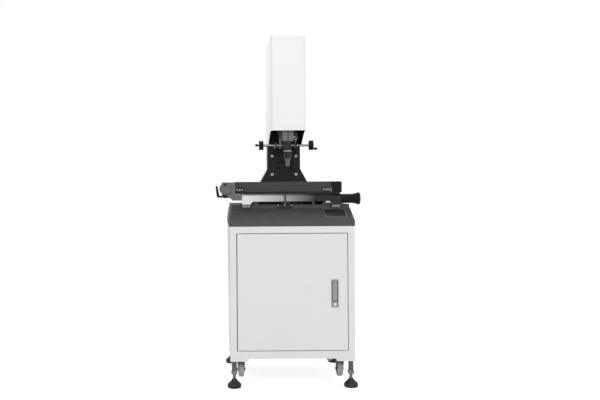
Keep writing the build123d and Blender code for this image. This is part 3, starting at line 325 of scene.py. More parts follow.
cabinet_enamel = finish("cabinet enamel", CABINET_TINT, CABINET_SHADE, 0.38, grain=4.0,
                        skin=0.25, skin_depth=0.0003, coat=0.15)
dress(cabinet_enamel, "cabinet_panels", "cabinet_front_frame", "cabinet_top_plate", "door_panel")
hoods = [(louvre(LOUVRE_LOW + row * LOUVRE_PITCH), cabinet_enamel) for row in range(LOUVRES)]
add_piece("rear_louvre_hoods", "root", hoods)


# Lock. A plane lock in satin nickel-plated zinc: tray, crowned swing lever and sprung button, with a
# plain zinc-plated cam behind the door.
NICKEL = (0.42, 0.42, 0.415)
NICKEL_DARK = (0.30, 0.30, 0.30)
ZINC = (0.30, 0.305, 0.31)
ZINC_DARK = (0.18, 0.185, 0.19)
LEVER_CROWN = 0.0024
LEVER_ROUND = 0.0095
# For each axis w, the directions u, v and w of a shape drawn flat on u and v or turned about w.
DIRECTIONS = {
    "x": ((0, 1, 0), (0, 0, 1), (1, 0, 0)),
    "-x": ((0, 0, 1), (0, 1, 0), (-1, 0, 0)),
    "-y": ((1, 0, 0), (0, 0, 1), (0, -1, 0)),
    "z": ((1, 0, 0), (0, 1, 0), (0, 0, 1)),
}


def rounded(x0, x1, y0, y1, radius, steps=6):
    """An anticlockwise rectangle with corners of the given radius, as (x, y) points."""
    quarter = np.linspace(0, np.pi / 2, steps)
    runs = []
    for x, y, start in ((x1 - radius, y0 + radius, -np.pi / 2), (x1 - radius, y1 - radius, 0),
                        (x0 + radius, y1 - radius, np.pi / 2), (x0 + radius, y0 + radius, np.pi)):
        angle = start + quarter
        runs.append(np.stack((x + radius * np.cos(angle), y + radius * np.sin(angle)), 1))
    return np.concatenate(runs)


def inset_rings(outline, levels, centre, directions):
    """Rings that follow a flat outline, each moved in by its inset and up by its height.

    A corner p with unit normals m and n of its two sides moves by -inset (m + n) / (1 + m.n)."""
    before = outline - np.roll(outline, 1, 0)
    after = np.roll(outline, -1, 0) - outline
    m = np.stack((before[:, 1], -before[:, 0]), 1) / np.linalg.norm(before, axis=1)[:, None]
    n = np.stack((after[:, 1], -after[:, 0]), 1) / np.linalg.norm(after, axis=1)[:, None]
    corner = (m + n) / (1 + (m * n).sum(1))[:, None]
    u, v, w = np.array(directions, float)
    rings = []
    for inset, height in levels:
        p = outline - inset * corner
        rings.append(np.array(centre) + p[:, :1] * u + p[:, 1:] * v + height * w)
    return np.array(rings)


def plate(outline, low, high, edge, centre=(0, 0, 0), directions=DIRECTIONS["z"]):
    """A plate between two heights, its rim rounded by the edge radius e: at the angle a the ring is
    e (1 - sin a) in from the outline and e (1 - cos a) in from the face."""
    turn = np.linspace(0, np.pi / 2, 4)
    insets = edge * (1 - np.sin(turn))
    rises = edge * (1 - np.cos(turn))
    levels = list(zip(insets, low + rises)) + list(zip(insets[::-1], high - rises[::-1]))
    return skin(inset_rings(outline, levels, centre, directions))


satin_nickel = finish("satin nickel", NICKEL, NICKEL_DARK, 0.36, metal=0.85, grain=30.0,
                      stretch=(1, 1, 0.15), skin=0.3)
bright_nickel = finish("bright nickel", (0.86, 0.86, 0.86), (0.7, 0.7, 0.7), 0.16, metal=1.0, grain=40.0)
zinc_plate = finish("zinc plate", ZINC, ZINC_DARK, 0.42, metal=0.8, grain=45.0, skin=0.3,
                    wear=(0.5, 0.5, 0.5))
steel = finish("ground steel", (0.74, 0.74, 0.74), (0.56, 0.56, 0.56), 0.28, metal=1.0, grain=25.0,
               stretch=(0.2, 1, 1), skin=0.3)
dress(satin_nickel, "lock_tray_and_pin")
dress(bright_nickel, "lock_button")
dress(zinc_plate, "lock_cam")
dress(steel, "door_pivot_pins")
lever_low, lever_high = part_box("lock_lever")
lever_outline = rounded(lever_low[0], lever_high[0], lever_low[2], lever_high[2], LEVER_ROUND)
lever_skin = plate(lever_outline, -lever_high[1], -lever_low[1], LEVER_CROWN, directions=DIRECTIONS["-y"])
add_piece("lock_lever_crowned", "lever", [(lever_skin, satin_nickel)], ("lock_lever",))


# Levelling feet. Glossy black pads, a drum with a rounded cone above it, on threaded zinc-plated
# studs; each is held by a chamfered hexagon lock nut under the grey sleeve of its white leg plate.
PAD_ROWS = ((0.0285, 0.0000), (0.0310, 0.0014), (0.0322, 0.0040), (0.0325, 0.0075), (0.0325, 0.0140),
            (0.0318, 0.0168), (0.0298, 0.0196), (0.0258, 0.0232), (0.0212, 0.0272), (0.0166, 0.0314),
            (0.0132, 0.0352), (0.0114, 0.0384), (0.0106, 0.0408), (0.0095, 0.0420))
STUD_RADIUS = 0.008
THREAD_PITCH = 0.0020
THREAD_DEPTH = 0.0009
THREAD_STEPS = 6
NUT_APOTHEM = 0.0140
NUT_CHAMFER = 0.0013
LEG_PLATE_LOW = 0.1238
SLEEVE_GREY = (0.095, 0.095, 0.097)
SLEEVE_BLEND = 0.0002
NUT_CLEARANCE = 0.0001
NUT_EASE = 0.0004


def turned(rows, centre, axis="z", count=48, ribs=0):
    """Rings about an axis. Row i holds radius r, height h, hexagon share k and rib depth d, and
    P(i, t) = centre + h w + R (cos t u + sin t v), with
    R = r (1 + k (1 / cos(((t + 30) mod 60) - 30) - 1)) - d (1 - cos(ribs t)) / 2, t in degrees."""
    rows = np.array([tuple(row) + (0.0,) * (4 - len(row)) for row in rows])
    u, v, w = np.array(DIRECTIONS[axis], float)
    t = np.linspace(0, 2 * np.pi, count, endpoint=False)
    flats = 1 / np.cos((t + np.pi / 6) % (np.pi / 3) - np.pi / 6) - 1
    radius = rows[:, :1] * (1 + rows[:, 2:3] * flats) - rows[:, 3:] * (1 - np.cos(ribs * t)) / 2
    spin = np.cos(t)[:, None] * u + np.sin(t)[:, None] * v
    return np.array(centre) + rows[:, 1, None, None] * w + radius[:, :, None] * spin


def threaded(radius, low, high, centre):
    """A screw thread on Z: R = radius - depth |2 frac(h / pitch - t / turn) - 1|."""
    steps = int(round((high - low) / THREAD_PITCH * THREAD_STEPS))
    h = np.linspace(low, high, steps + 1)[:, None]
    t = np.linspace(0, 2 * np.pi, 24, endpoint=False)[None, :]
    ridge = np.abs(2 * ((h / THREAD_PITCH - t / (2 * np.pi)) % 1) - 1)
    r = radius - THREAD_DEPTH * ridge
    x = centre[0] + r * np.cos(t)
    y = centre[1] + r * np.sin(t)
    return skin(np.stack((x, y, np.broadcast_to(h, r.shape)), -1))


foot_black = finish("foot black", (0.016, 0.016, 0.017), (0.010, 0.010, 0.011), 0.30, grain=50.0, skin=0.3)
leg_enamel = finish("leg enamel", CABINET_TINT, CABINET_SHADE, 0.40, grain=4.0, skin=0.25)
fade(leg_enamel, "Z", LEG_PLATE_LOW - SLEEVE_BLEND, LEG_PLATE_LOW, SLEEVE_GREY, CABINET_TINT)
dress(leg_enamel, "leg_and_caster_plates")
CORNERS = {"front_left": (-1, -1), "front_right": (1, -1), "rear_left": (-1, 1), "rear_right": (1, 1)}
nuts = []
nut_low, nut_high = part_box("foot_lock_nuts")
for corner in CORNERS:
    foot_low, foot_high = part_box("levelling_foot_" + corner)
    middle = ((foot_low[0] + foot_high[0]) / 2, (foot_low[1] + foot_high[1]) / 2, 0)
    pad_skin = skin(turned(PAD_ROWS, middle, count=64))
    stud_skin = threaded(STUD_RADIUS, PAD_ROWS[-1][1] - THREAD_PITCH, foot_high[2], middle)
    add_piece("levelling_foot_detail_" + corner, "foot_" + corner,
              [(pad_skin, foot_black), (stud_skin, zinc_plate)], ("levelling_foot_" + corner,))
    bore = STUD_RADIUS + NUT_CLEARANCE
    nut_face = NUT_APOTHEM - NUT_EASE
    nut_rows = ((bore, nut_low[2]), (nut_face, nut_low[2]), (NUT_APOTHEM, nut_low[2] + NUT_CHAMFER, 1),
                (NUT_APOTHEM, nut_high[2] - NUT_CHAMFER, 1), (nut_face, nut_high[2]), (bore, nut_high[2]))
    nuts.append((skin(turned(nut_rows, middle), looped=True), zinc_plate))
add_piece("foot_lock_nuts_detail", "root", nuts, ("foot_lock_nuts",))


# Casters. Pressed and plated swivel forks, moulded nylon wheels with a crowned tread and a recessed
# hub, and a hexagon-headed axle bolt with its nut.
WHEEL_BORE = 0.0051
WHEEL_SHARES = ((0.30, 0.90), (0.34, 0.66), (0.66, 0.62), (0.71, 0.94), (0.89, 1.00), (0.965, 0.84),
                (0.993, 0.45), (1.00, 0.00))
BOLT_APOTHEM = 0.0050
BOLT_HEAD = 0.0040
BOLT_EASE = 0.0008
BOLT_CROWN = 0.95
HUB_SHARE = 0.90
fork_grey = finish("fork grey", (0.13, 0.13, 0.133), (0.08, 0.08, 0.083), 0.46, metal=0.3, grain=45.0,
                   skin=0.3, wear=(0.30, 0.30, 0.30), shine=0.3)
wheel_nylon = finish("wheel nylon", (0.50, 0.50, 0.495), (0.38, 0.38, 0.378), 0.5, grain=40.0, skin=0.3)
for corner in CORNERS:
    dress(fork_grey, "caster_fork_" + corner)
    wheel_low, wheel_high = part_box("caster_wheel_" + corner)
    hub = tuple((a + b) / 2 for a, b in zip(wheel_low, wheel_high))
    tread, half = (wheel_high[2] - wheel_low[2]) / 2, (wheel_high[0] - wheel_low[0]) / 2
    near = [(WHEEL_BORE, -HUB_SHARE * half)] + [(r * tread, -w * half) for r, w in WHEEL_SHARES]
    wheel_rows = near + [(r, -w) for r, w in near[-2::-1]]
    wheel_skin = skin(turned(wheel_rows, hub, "x", 64), looped=True)
    add_piece("caster_wheel_detail_" + corner, "wheel_" + corner,
              [(wheel_skin, wheel_nylon)], ("caster_wheel_" + corner,))
    fork_low, fork_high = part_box("caster_fork_" + corner)
    bolts = []
    for axis, side in (("-x", fork_low[0]), ("x", fork_high[0])):
        head_rows = ((BOLT_APOTHEM, 0.0, 1), (BOLT_APOTHEM, BOLT_HEAD - BOLT_EASE, 1),
                     (BOLT_APOTHEM * BOLT_CROWN, BOLT_HEAD))
        bolts.append((skin(turned(head_rows, (side, hub[1], hub[2]), axis, 36)), zinc_plate))
    add_piece("caster_axle_bolt_" + corner, "fork_" + corner, bolts)


# Base and column castings. Grey iron, filled, and painted in a matt black textured two-pack that is
# rubbed paler along its edges. A bare bordered plate sits on the right of the base's slope.
PLATE_LEFT = 0.157
PLATE_RIGHT = 0.257
PLATE_LOW = 0.791
PLATE_HIGH = 0.828
PLATE_THICK = 0.0008
PLATE_CORNER = 0.0012
PLATE_EDGE = 0.0002
BORDER = 0.0011
BORDER_RISE = 0.0004
SLOPE_LOW = 0.774
SLOPE_HIGH = 0.831
SLOPE_RUN = 0.078
base_black = finish("base black", (0.082, 0.082, 0.084), (0.058, 0.058, 0.060), 0.56, grain=18.0, skin=0.9,
                    skin_depth=0.0004, edge=0.0018, wear=(0.14, 0.14, 0.14), shine=0.3)
column_black = finish("column black", (0.020, 0.020, 0.021), (0.013, 0.013, 0.014), 0.56, grain=18.0,
                      skin=0.9, skin_depth=0.0004, edge=0.0018, wear=(0.05, 0.05, 0.05), shine=0.25)
dress(base_black, "base_casting", "transport_lock_strap")
dress(column_black, "column_casting")
slope_length = math.hypot(SLOPE_RUN, SLOPE_HIGH - SLOPE_LOW)
up_slope = np.array((0, SLOPE_RUN, SLOPE_HIGH - SLOPE_LOW)) / slope_length
slope_directions = ((1, 0, 0), up_slope, np.cross((1, 0, 0), up_slope))
slope_foot = (0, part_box("base_casting")[0][1], SLOPE_LOW)
rise = slope_length / (SLOPE_HIGH - SLOPE_LOW)
plate_outline = rounded(PLATE_LEFT, PLATE_RIGHT, (PLATE_LOW - SLOPE_LOW) * rise,
                        (PLATE_HIGH - SLOPE_LOW) * rise, PLATE_CORNER, 4)
plate_black = finish("plate black", (0.030, 0.030, 0.031), (0.022, 0.022, 0.023), 0.36, grain=50.0)
border_grey = finish("border grey", (0.52, 0.52, 0.51), (0.42, 0.42, 0.41), 0.4, metal=0.2,
                     grain=60.0)
border_levels = ((BORDER, PLATE_THICK), (0, PLATE_THICK), (0, PLATE_THICK + BORDER_RISE),
                 (BORDER, PLATE_THICK + BORDER_RISE))
border_rings = inset_rings(plate_outline, border_levels, slope_foot, slope_directions)
bare_plate = plate(plate_outline, 0.0, PLATE_THICK, PLATE_EDGE, slope_foot, slope_directions)
add_piece("bare_plate", "root",
          [(bare_plate, plate_black), (skin(border_rings, looped=True), border_grey)])


# Socket screws. Zinc-plated cap screws, near white in colour partly as a painted glint, each with a black
# plug of painted shade in its socket, hold the column, the transport lock and the rail stops at the bar's
# feet.
# They also hold a blackened gib strip under the table, drawn the table's whole length with a flap below it
# as painted shade for the dark gap there.
SCREW_GAP = 0.0002
GIB_THICK = 0.0030
GIB_CLEAR = 0.0062
GIB_HEIGHT = 0.0280
FLAP_CLEAR = 0.0006
COLUMN_SCREW_R = 0.0070
LOCK_SCREW_R = 0.0032
STOP_SCREW_R = 0.0044
GIB_SCREW_R = 0.0036
LOCK_SCREW_HEIGHT = 0.0026
STOP_SCREW_HEIGHT = 0.0050
GIB_SCREW_HEIGHT = 0.0045
LOCK_SCREW_OFFSETS = (-0.033, 0.0, 0.033)
LOCK_SCREW_DROP = 0.0045
STOP_SCREW_STEPS = (0.008, 0.020, 0.032)
STOP_SCREW_DROP = 0.0065
GIB_SCREW_STEPS = (0.004, 0.016, 0.028)
GIB_SCREW_RISE = 0.0085
GIB_SCREW_LEFT = 0.006
GIB_SCREW_RIGHT = 0.038
GIB_FIT = 0.0001
GIB_END = 0.001
FLAP_END = 0.0015
GIB_CORNER = 0.0008
GIB_EDGE = 0.0004
# Shares of a cap screw's radius, its rim and its height.
RIM_SHARE = 0.12
RIM_CUT = 0.3
SOCKET_SHARE = 0.47
SOCKET_MOUTH = 1.10
SOCKET_FLOOR = 0.30
PLUG_FIT = 0.98
PLUG_LOW = 0.32
PLUG_HIGH = 0.72


def cap_screw(place, radius, height, axis="-y"):
    """A cap screw as two skins: a bright head with a rounded rim and a hexagon socket, its rows
    being the wall, the rim's quarter round and the socket, and a black plug low in the socket: painted
    shade in the socket's hollow."""
    rim = radius * RIM_SHARE
    socket = radius * SOCKET_SHARE
    rows = ((radius, SCREW_GAP), (radius, height - rim), (radius - RIM_CUT * rim, height - RIM_CUT * rim),
            (radius - rim, height), (socket * SOCKET_MOUTH, height), (socket, height - RIM_CUT * rim, 1),
            (socket, height * SOCKET_FLOOR, 1))
    plug = ((socket * PLUG_FIT, height * PLUG_LOW, 1), (socket * PLUG_FIT, height * PLUG_HIGH, 1))
    return [(skin(turned(rows, place, axis, 36)), screw_zinc_and_glint),
            (skin(turned(plug, place, axis, 12)), socket_shade_black)]


# Bright zinc plating, its near-white colour and low metal also a painted glint on the heads.
screw_zinc_and_glint = finish("screw zinc and painted glint", (0.86, 0.86, 0.86), (0.74, 0.74, 0.74), 0.34, metal=0.35, grain=60.0)
# Painted shade: the near-black plug darkens the hollow of each socket.
socket_shade_black = finish("painted socket shade", (0.014, 0.014, 0.014), (0.008, 0.008, 0.008), 0.5, grain=60.0, shine=0.2)
gib_black = finish("gib black", (0.026, 0.026, 0.027), (0.016, 0.016, 0.017), 0.42, grain=30.0, shine=0.3)
screw_low, screw_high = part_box("column_screws")
column_front = screw_high[1]
column_heads = []
for x in (screw_low[0] + COLUMN_SCREW_R, screw_high[0] - COLUMN_SCREW_R):
    for z in (screw_low[2] + COLUMN_SCREW_R, screw_high[2] - COLUMN_SCREW_R):
        column_heads += cap_screw((x, column_front, z), COLUMN_SCREW_R, column_front - screw_low[1])
add_piece("column_cap_screws", "root", column_heads, ("column_screws",))

lock_low, lock_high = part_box("transport_lock_plate")
lock_middle = (lock_low[0] + lock_high[0]) / 2
dress(gib_black, "transport_lock_plate")
lock_screws = []
for offset in LOCK_SCREW_OFFSETS:
    lock_place = (lock_middle + offset, lock_low[1], lock_high[2] - LOCK_SCREW_DROP)
    lock_screws += cap_screw(lock_place, LOCK_SCREW_R, LOCK_SCREW_HEIGHT)
add_piece("transport_lock_screws", "root", lock_screws)

rest_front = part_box("y_rails_and_drive_bar")[0][1]
rest_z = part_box("base_casting")[1][2] - STOP_SCREW_DROP
bar_low, bar_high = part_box("y_carriage_front_bar")
stops = []
for edge, side in ((bar_low[0], 1), (bar_high[0], -1)):
    for step in STOP_SCREW_STEPS:
        stops += cap_screw((edge + side * step, rest_front, rest_z), STOP_SCREW_R, STOP_SCREW_HEIGHT)
add_piece("rail_stop_screws", "root", stops)

# The gib strip stands partly for the real gib, but it runs the table's whole length and the flap fills down
# to the bar: both are dark sheets put as painted shade in the gap under the table.
end_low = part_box("x_table_end_block")[0]
table_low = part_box("x_table")[0]
gib_front = bar_high[1] + GIB_FIT
gib_low = bar_high[2] + GIB_CLEAR
gib_left = table_low[0] + GIB_END
gib_and_shade_outline = rounded(gib_left, end_low[0] - GIB_END, gib_low, gib_low + GIB_HEIGHT, GIB_CORNER, 3)
shade_flap_outline = rounded(gib_left, bar_low[0] - FLAP_END, bar_high[2] + FLAP_CLEAR, gib_low, GIB_CORNER, 3)
gib_and_shade_parts = []
for outline in (gib_and_shade_outline, shade_flap_outline):
    strip = plate(outline, -gib_front - GIB_THICK, -gib_front, GIB_EDGE, directions=DIRECTIONS["-y"])
    gib_and_shade_parts.append((strip, gib_black))
for x0 in (table_low[0] + GIB_SCREW_LEFT, end_low[0] - GIB_SCREW_RIGHT):
    for step in GIB_SCREW_STEPS:
        gib_and_shade_parts += cap_screw((x0 + step, gib_front, table_low[2] + GIB_SCREW_RISE), GIB_SCREW_R,
                          GIB_SCREW_HEIGHT)
add_piece("table_gib_and_gap_shade", "table", gib_and_shade_parts)


# Stage. Aluminium plates milled and black anodised, a milled front bar, blackened steel rails and
# runners, and a moulded end block. The bar's colour fades from bright at the left to dark at the
# right: that stands for the reflection it has in the photo, and is not a change of metal.
DARK_STEEL = (0.11, 0.11, 0.11)
BAR_BRIGHT = (0.84, 0.84, 0.84)
BAR_DARK = (0.030, 0.030, 0.030)
BAR_DARK_RUN = 0.12
anodised_black = finish("black anodised", (0.050, 0.050, 0.052), (0.030, 0.030, 0.032), 0.44, grain=14.0,
                        stretch=(0.12, 1, 1), skin=0.35, metal=0.2, wear=(0.11, 0.11, 0.11), shine=0.35)
grey_anodised = finish("grey anodised", (0.30, 0.31, 0.31), (0.22, 0.23, 0.23), 0.42, grain=30.0, metal=0.4,
                       wear=(0.42, 0.42, 0.42))
moulded_black = finish("moulded black", (0.009, 0.009, 0.009), (0.005, 0.005, 0.005), 0.48,
                       grain=60.0, skin=0.4, shine=0.15)
dark_steel = finish("dark steel", DARK_STEEL, (0.06, 0.06, 0.06), 0.40, metal=0.7, grain=25.0,
                    stretch=(0.2, 1, 1), skin=0.3)
bracket_grey = finish("bracket grey", (0.16, 0.16, 0.162), (0.11, 0.11, 0.112), 0.46, grain=30.0, metal=0.3,
                      wear=(0.26, 0.26, 0.26), shine=0.35)
bar_finish = finish("milled bar", (0.20, 0.20, 0.20), (0.11, 0.11, 0.11), 0.34, grain=8.0,
                    stretch=(0.1, 1, 1), skin=0.3, metal=0.7, wear=(0.4, 0.4, 0.4))
fade(bar_finish, "X", bar_low[0], bar_high[0] - BAR_DARK_RUN, BAR_BRIGHT, BAR_DARK)
dress(anodised_black, "x_table", "y_carriage_plate", "bottom_light_housing", "shaft_and_idler_hangers",
      "camera_body")
dress(bar_finish, "y_carriage_front_bar")
dress(moulded_black, "x_table_end_block", "quick_release_lever", "y_drive_bearings")
dress(satin_nickel, "handwheel_shaft")
dress(bracket_grey, "x_drive_bracket")
dress(dark_steel, "z_guide_rail", "x_rails", "x_runners", "y_runners", "y_rails_and_drive_bar")
dress(grey_anodised, "z_slide", "head_arm", "belt_idler")
glass = finish("stage glass", (0.86, 0.95, 0.92), (0.82, 0.92, 0.89), 0.04, spread=0.02, grain=20.0,
               clear=0.9)
dress(glass, "stage_glass", "bottom_light_lens")


# Stage drives. A ribbed moulded knob with a flange at the right turns the Y roller; a ribbed disc
# handwheel with a stepped grip, on the left bracket, turns the X roller.
KNOB_RIBS = 30
WHEEL_RIBS = 36
SHAFT_R = 0.005
SHAFT_EASE = 0.0005
ROLLER_R = 0.010
ROLLER_START = 0.104
ROLLER_END = 0.116
KNOB_R = 0.0240
FLANGE_R = 0.0280
KNOB_RIB = 0.0012
FLANGE_RIB = 0.0010
DISC_RIB = 0.0011
DISC_DEPTH = 0.016
knob_low, knob_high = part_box("y_drive_knob")
knob_axis = ((knob_low[1] + knob_high[1]) / 2, (knob_low[2] + knob_high[2]) / 2)
knob_end = knob_high[0]
neck_start = knob_end - 0.031
neck_end = knob_end - 0.016
knob_rows = ((SHAFT_R - SHAFT_EASE, knob_low[0]), (SHAFT_R, knob_low[0] + SHAFT_EASE),
             (SHAFT_R, ROLLER_START), (ROLLER_R, ROLLER_START), (ROLLER_R, ROLLER_END),
             (SHAFT_R, ROLLER_END), (SHAFT_R, neck_start))
grip_rows = ((SHAFT_R, neck_start), (0.0225, neck_start), (KNOB_R, neck_start + 0.0015),
             (KNOB_R, neck_start + 0.003, 0, KNOB_RIB), (KNOB_R, neck_end - 0.002, 0, KNOB_RIB),
             (KNOB_R, neck_end - 0.0006), (0.0268, neck_end), (FLANGE_R, neck_end + 0.0014),
             (FLANGE_R, neck_end + 0.003, 0, FLANGE_RIB), (FLANGE_R, knob_end - 0.004, 0, FLANGE_RIB),
             (0.0272, knob_end - 0.0016), (0.0250, knob_end - 0.0003), (0.0200, knob_end),
             (0.0190, knob_end - 0.0010), (0.0040, knob_end - 0.0014))
knob_centre = (0, *knob_axis)
add_piece("y_drive_knob_detail", "y_knob",
          [(skin(turned(knob_rows, knob_centre, "x", 40)), steel),
           (skin(turned(grip_rows, knob_centre, "x", 240, KNOB_RIBS)), moulded_black)], ("y_drive_knob",))

wheel_low, wheel_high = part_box("x_drive_handwheel")
wheel_r = (wheel_high[0] - wheel_low[0]) / 2
wheel_centre = ((wheel_low[0] + wheel_high[0]) / 2, wheel_high[1], (wheel_low[2] + wheel_high[2]) / 2)
depth = wheel_high[1] - wheel_low[1]
back = depth - DISC_DEPTH
disc_rows = ((SHAFT_R, back), (0.0230, back), (wheel_r - 0.0012, back + 0.0006), (wheel_r, back + 0.002),
             (wheel_r, back + 0.003, 0, DISC_RIB), (wheel_r, depth - 0.004, 0, DISC_RIB),
             (wheel_r - 0.0006, depth - 0.0022), (wheel_r - 0.0022, depth - 0.0004),
             (wheel_r - 0.0045, depth), (wheel_r - 0.0070, depth - 0.0012), (0.0120, depth - 0.0018),
             (0.0100, depth - 0.0006), (0.0085, depth - 0.0002), (0.0010, depth - 0.0002))
shaft_rows = ((SHAFT_R, 0.0), (SHAFT_R, back + 0.001))
disc_grey = finish("disc grey", (0.145, 0.145, 0.147), (0.11, 0.11, 0.112), 0.46, grain=50.0,
                   skin=0.3, shine=0.3)
add_piece("x_handwheel_detail", "x_wheel",
          [(skin(turned(shaft_rows, wheel_centre, "-y", 32)), steel),
           (skin(turned(disc_rows, wheel_centre, "-y", 288, WHEEL_RIBS)), disc_grey)],
          ("x_drive_handwheel",))


def stepped_grip(root, axis, radius, length):
    """A turned grip: collar, waist and a rounded barrel with two shallow grooves."""
    rows = ((radius * 0.80, 0.0), (radius * 0.80, length * 0.08), (radius * 0.55, length * 0.12),
            (radius * 0.55, length * 0.24), (radius * 0.90, length * 0.30), (radius, length * 0.38),
            (radius, length * 0.50), (radius * 0.93, length * 0.53), (radius, length * 0.56),
            (radius, length * 0.68), (radius * 0.93, length * 0.71), (radius, length * 0.74),
            (radius, length * 0.86), (radius * 0.90, length * 0.95), (radius * 0.60, length))
    return skin(turned(rows, root, axis, 36))


x_grip_low, x_grip_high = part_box("x_drive_grip")
x_grip_root = ((x_grip_low[0] + x_grip_high[0]) / 2, x_grip_high[1],
               (x_grip_low[2] + x_grip_high[2]) / 2)
x_grip_radius = (x_grip_high[0] - x_grip_low[0]) / 2
x_grip = stepped_grip(x_grip_root, "-y", x_grip_radius, x_grip_high[1] - x_grip_low[1])
add_piece("x_grip_detail", "x_wheel", [(x_grip, moulded_black)], ("x_drive_grip",))


# Vertical drive. A ground, nickel-plated shaft carries a black moulded handwheel with a stepped grip
# at each end, the left one with the deeper groove round its rim; its pulley drives a grey
# polyurethane belt with teeth on its inner side. A friction knob stands on the right hanger.
WHEEL_THICK = 0.021
BORE = 0.0060
WAIST_LEFT = 0.0030
WAIST_RIGHT = 0.0006
HUB_R = 0.0130
HUB_CUT = 0.0120
GRIP_LENGTH = 0.020
GRIP_RADIUS = 0.006
GRIP_REACH = 0.017
BELT_PITCH = 0.005
BELT_THICK = 0.002
TOOTH = 0.0009
TOOTH_STEPS = 8
KNOB_X = 0.044
HANGER_RISE = 0.012
# Radius and height of each step, with hexagon share and rib depth where there are any.
FRICTION_ROWS = ((0.0030, 0.0), (0.0030, 0.0225), (0.0125, 0.0230), (0.0130, 0.0240), (0.0130, 0.0300),
                 (0.0120, 0.0310), (0.0042, 0.0312), (0.0042, 0.0370), (0.0088, 0.0372),
                 (0.0098, 0.0385), (0.0098, 0.0395, 0, 0.0008), (0.0098, 0.0530, 0, 0.0008),
                 (0.0090, 0.0550), (0.0060, 0.0560))
JAM_ROWS = ((0.0031, 0.0150), (0.0062, 0.0150), (0.0065, 0.0156, 1), (0.0065, 0.0204, 1),
            (0.0062, 0.0210), (0.0031, 0.0210))
wheels_low, wheels_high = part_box("handwheels")
shaft_y = (wheels_low[1] + wheels_high[1]) / 2
shaft_z = (wheels_low[2] + wheels_high[2]) / 2
rim = (wheels_high[2] - wheels_low[2]) / 2
wheel_pair = []
for axis, inner, waist in (("-x", wheels_low[0] + WHEEL_THICK, WAIST_LEFT),
                           ("x", wheels_high[0] - WHEEL_THICK, WAIST_RIGHT)):
    rows = ((BORE, 0), (rim - 0.0020, 0), (rim, 0.0016), (rim, 0.0066), (rim - waist, 0.0080),
            (rim - waist, 0.0130), (rim, 0.0144), (rim, 0.0194), (rim - 0.0020, WHEEL_THICK),
            (HUB_R, WHEEL_THICK), (HUB_CUT, WHEEL_THICK - 0.0012), (BORE, WHEEL_THICK - 0.0012))
    wheel_rings = turned(rows, (inner, shaft_y, shaft_z), axis, 72)
    wheel_pair.append((skin(wheel_rings, looped=True), moulded_black))
add_piece("handwheel_pair_detail", "z_shaft", wheel_pair, ("handwheels",))

left_grip = stepped_grip((wheels_low[0], shaft_y - GRIP_REACH, shaft_z), "-x", GRIP_RADIUS, GRIP_LENGTH)
right_grip = stepped_grip((wheels_high[0], shaft_y, shaft_z - GRIP_REACH), "x", GRIP_RADIUS, GRIP_LENGTH)
add_piece("handwheel_grips_detail", "z_shaft",
          [(left_grip, moulded_black), (right_grip, moulded_black)], ("handwheel_grips",))

belt_low, belt_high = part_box("toothed_belt")


def belt_loop():
    """A loop round two pulleys: straight run, half circle, straight run, half circle.

    The outer side lies on the box. At the path length q the inner side stands in by the belt's
    thickness less a valley of depth TOOTH where cos(2 pi q / pitch) is below zero."""
    outer = (belt_high[1] - belt_low[1]) / 2
    y_mid = (belt_low[1] + belt_high[1]) / 2
    low, high = belt_low[2] + outer, belt_high[2] - outer
    run, arc = high - low, np.pi * outer
    whole = 2 * (run + arc)
    teeth = round(whole / BELT_PITCH)
    q = np.linspace(0, whole, teeth * TOOTH_STEPS, endpoint=False)
    legs = (run, run + arc, 2 * run + arc)
    turn = np.select((q < legs[0], q < legs[1], q < legs[2]),
                     (0 * q, (q - legs[0]) / outer, np.pi + 0 * q), np.pi + (q - legs[2]) / outer)
    level = np.select((q < legs[0], q < legs[1], q < legs[2]),
                      (low + q, high + 0 * q, high - (q - legs[1])), low + 0 * q)
    valley = np.where(np.cos(2 * np.pi * teeth * q / whole) < 0, TOOTH, 0.0)
    inner = outer - BELT_THICK + valley
    rings = []
    left, right = belt_low[0], belt_high[0]
    for x, radius in ((left, outer), (left, inner), (right, inner), (right, outer)):
        y = y_mid + radius * np.cos(turn)
        rings.append(np.stack((x + 0 * q, y, level + radius * np.sin(turn)), -1))
    return skin(np.stack(rings, 1), looped=True)


belt_grey = finish("belt grey", (0.20, 0.20, 0.195), (0.13, 0.13, 0.125), 0.5, grain=60.0)
add_piece("toothed_belt_detail", "root", [(belt_loop(), belt_grey)], ("toothed_belt",))

hanger_top = shaft_z + HANGER_RISE
knob_foot = (KNOB_X, shaft_y, hanger_top)
add_piece("shaft_friction_knob", "root",
          [(skin(turned(FRICTION_ROWS, knob_foot, "z", 144, 18)), bracket_grey),
           (skin(turned(JAM_ROWS, knob_foot, "z", 36), looped=True), screw_zinc_and_glint)])


# Head. A mid-grey clamp block with a centre slot holds a black zoom lens; its zoom ring is knurled
# with a bright band and a short prong each side, and the objective ends in a plain grey nose.
BRIGHT_BAND = 0.0048
SEAT_DEPTH = 0.002
SEAT_CLEAR = 0.0003
RING_CLEAR = 0.0001
RING_RIB = 0.0008
RING_STEP = 0.0014
PRONG_SINK = 0.0026
PRONG_ROWS = ((0.0018, 0.0), (0.0018, 0.0022), (0.0012, 0.0026))
COLLAR_PROUD = 0.0008
NOSE_R = 0.0105
NOSE_TOP_R = 0.0145
GLASS_ROWS = ((0.0010, 0.0), (0.0055, 0.00025), (0.0080, 0.0009), (0.0082, 0.0018))
CLAMP_SCREW_R = 0.0042
CLAMP_SCREW_HEIGHT = 0.0040
CLAMP_SCREW_INSET = 0.020
CLAMP_SCREW_FORWARD = 0.018
lens_grey = finish("lens grey", (0.16, 0.16, 0.165), (0.12, 0.12, 0.122), 0.38, grain=40.0, metal=0.4)
clamp_grey = finish("clamp grey", (0.17, 0.17, 0.172), (0.13, 0.13, 0.132), 0.48, grain=30.0, metal=0.2,
                    wear=(0.18, 0.18, 0.18), shine=0.35)
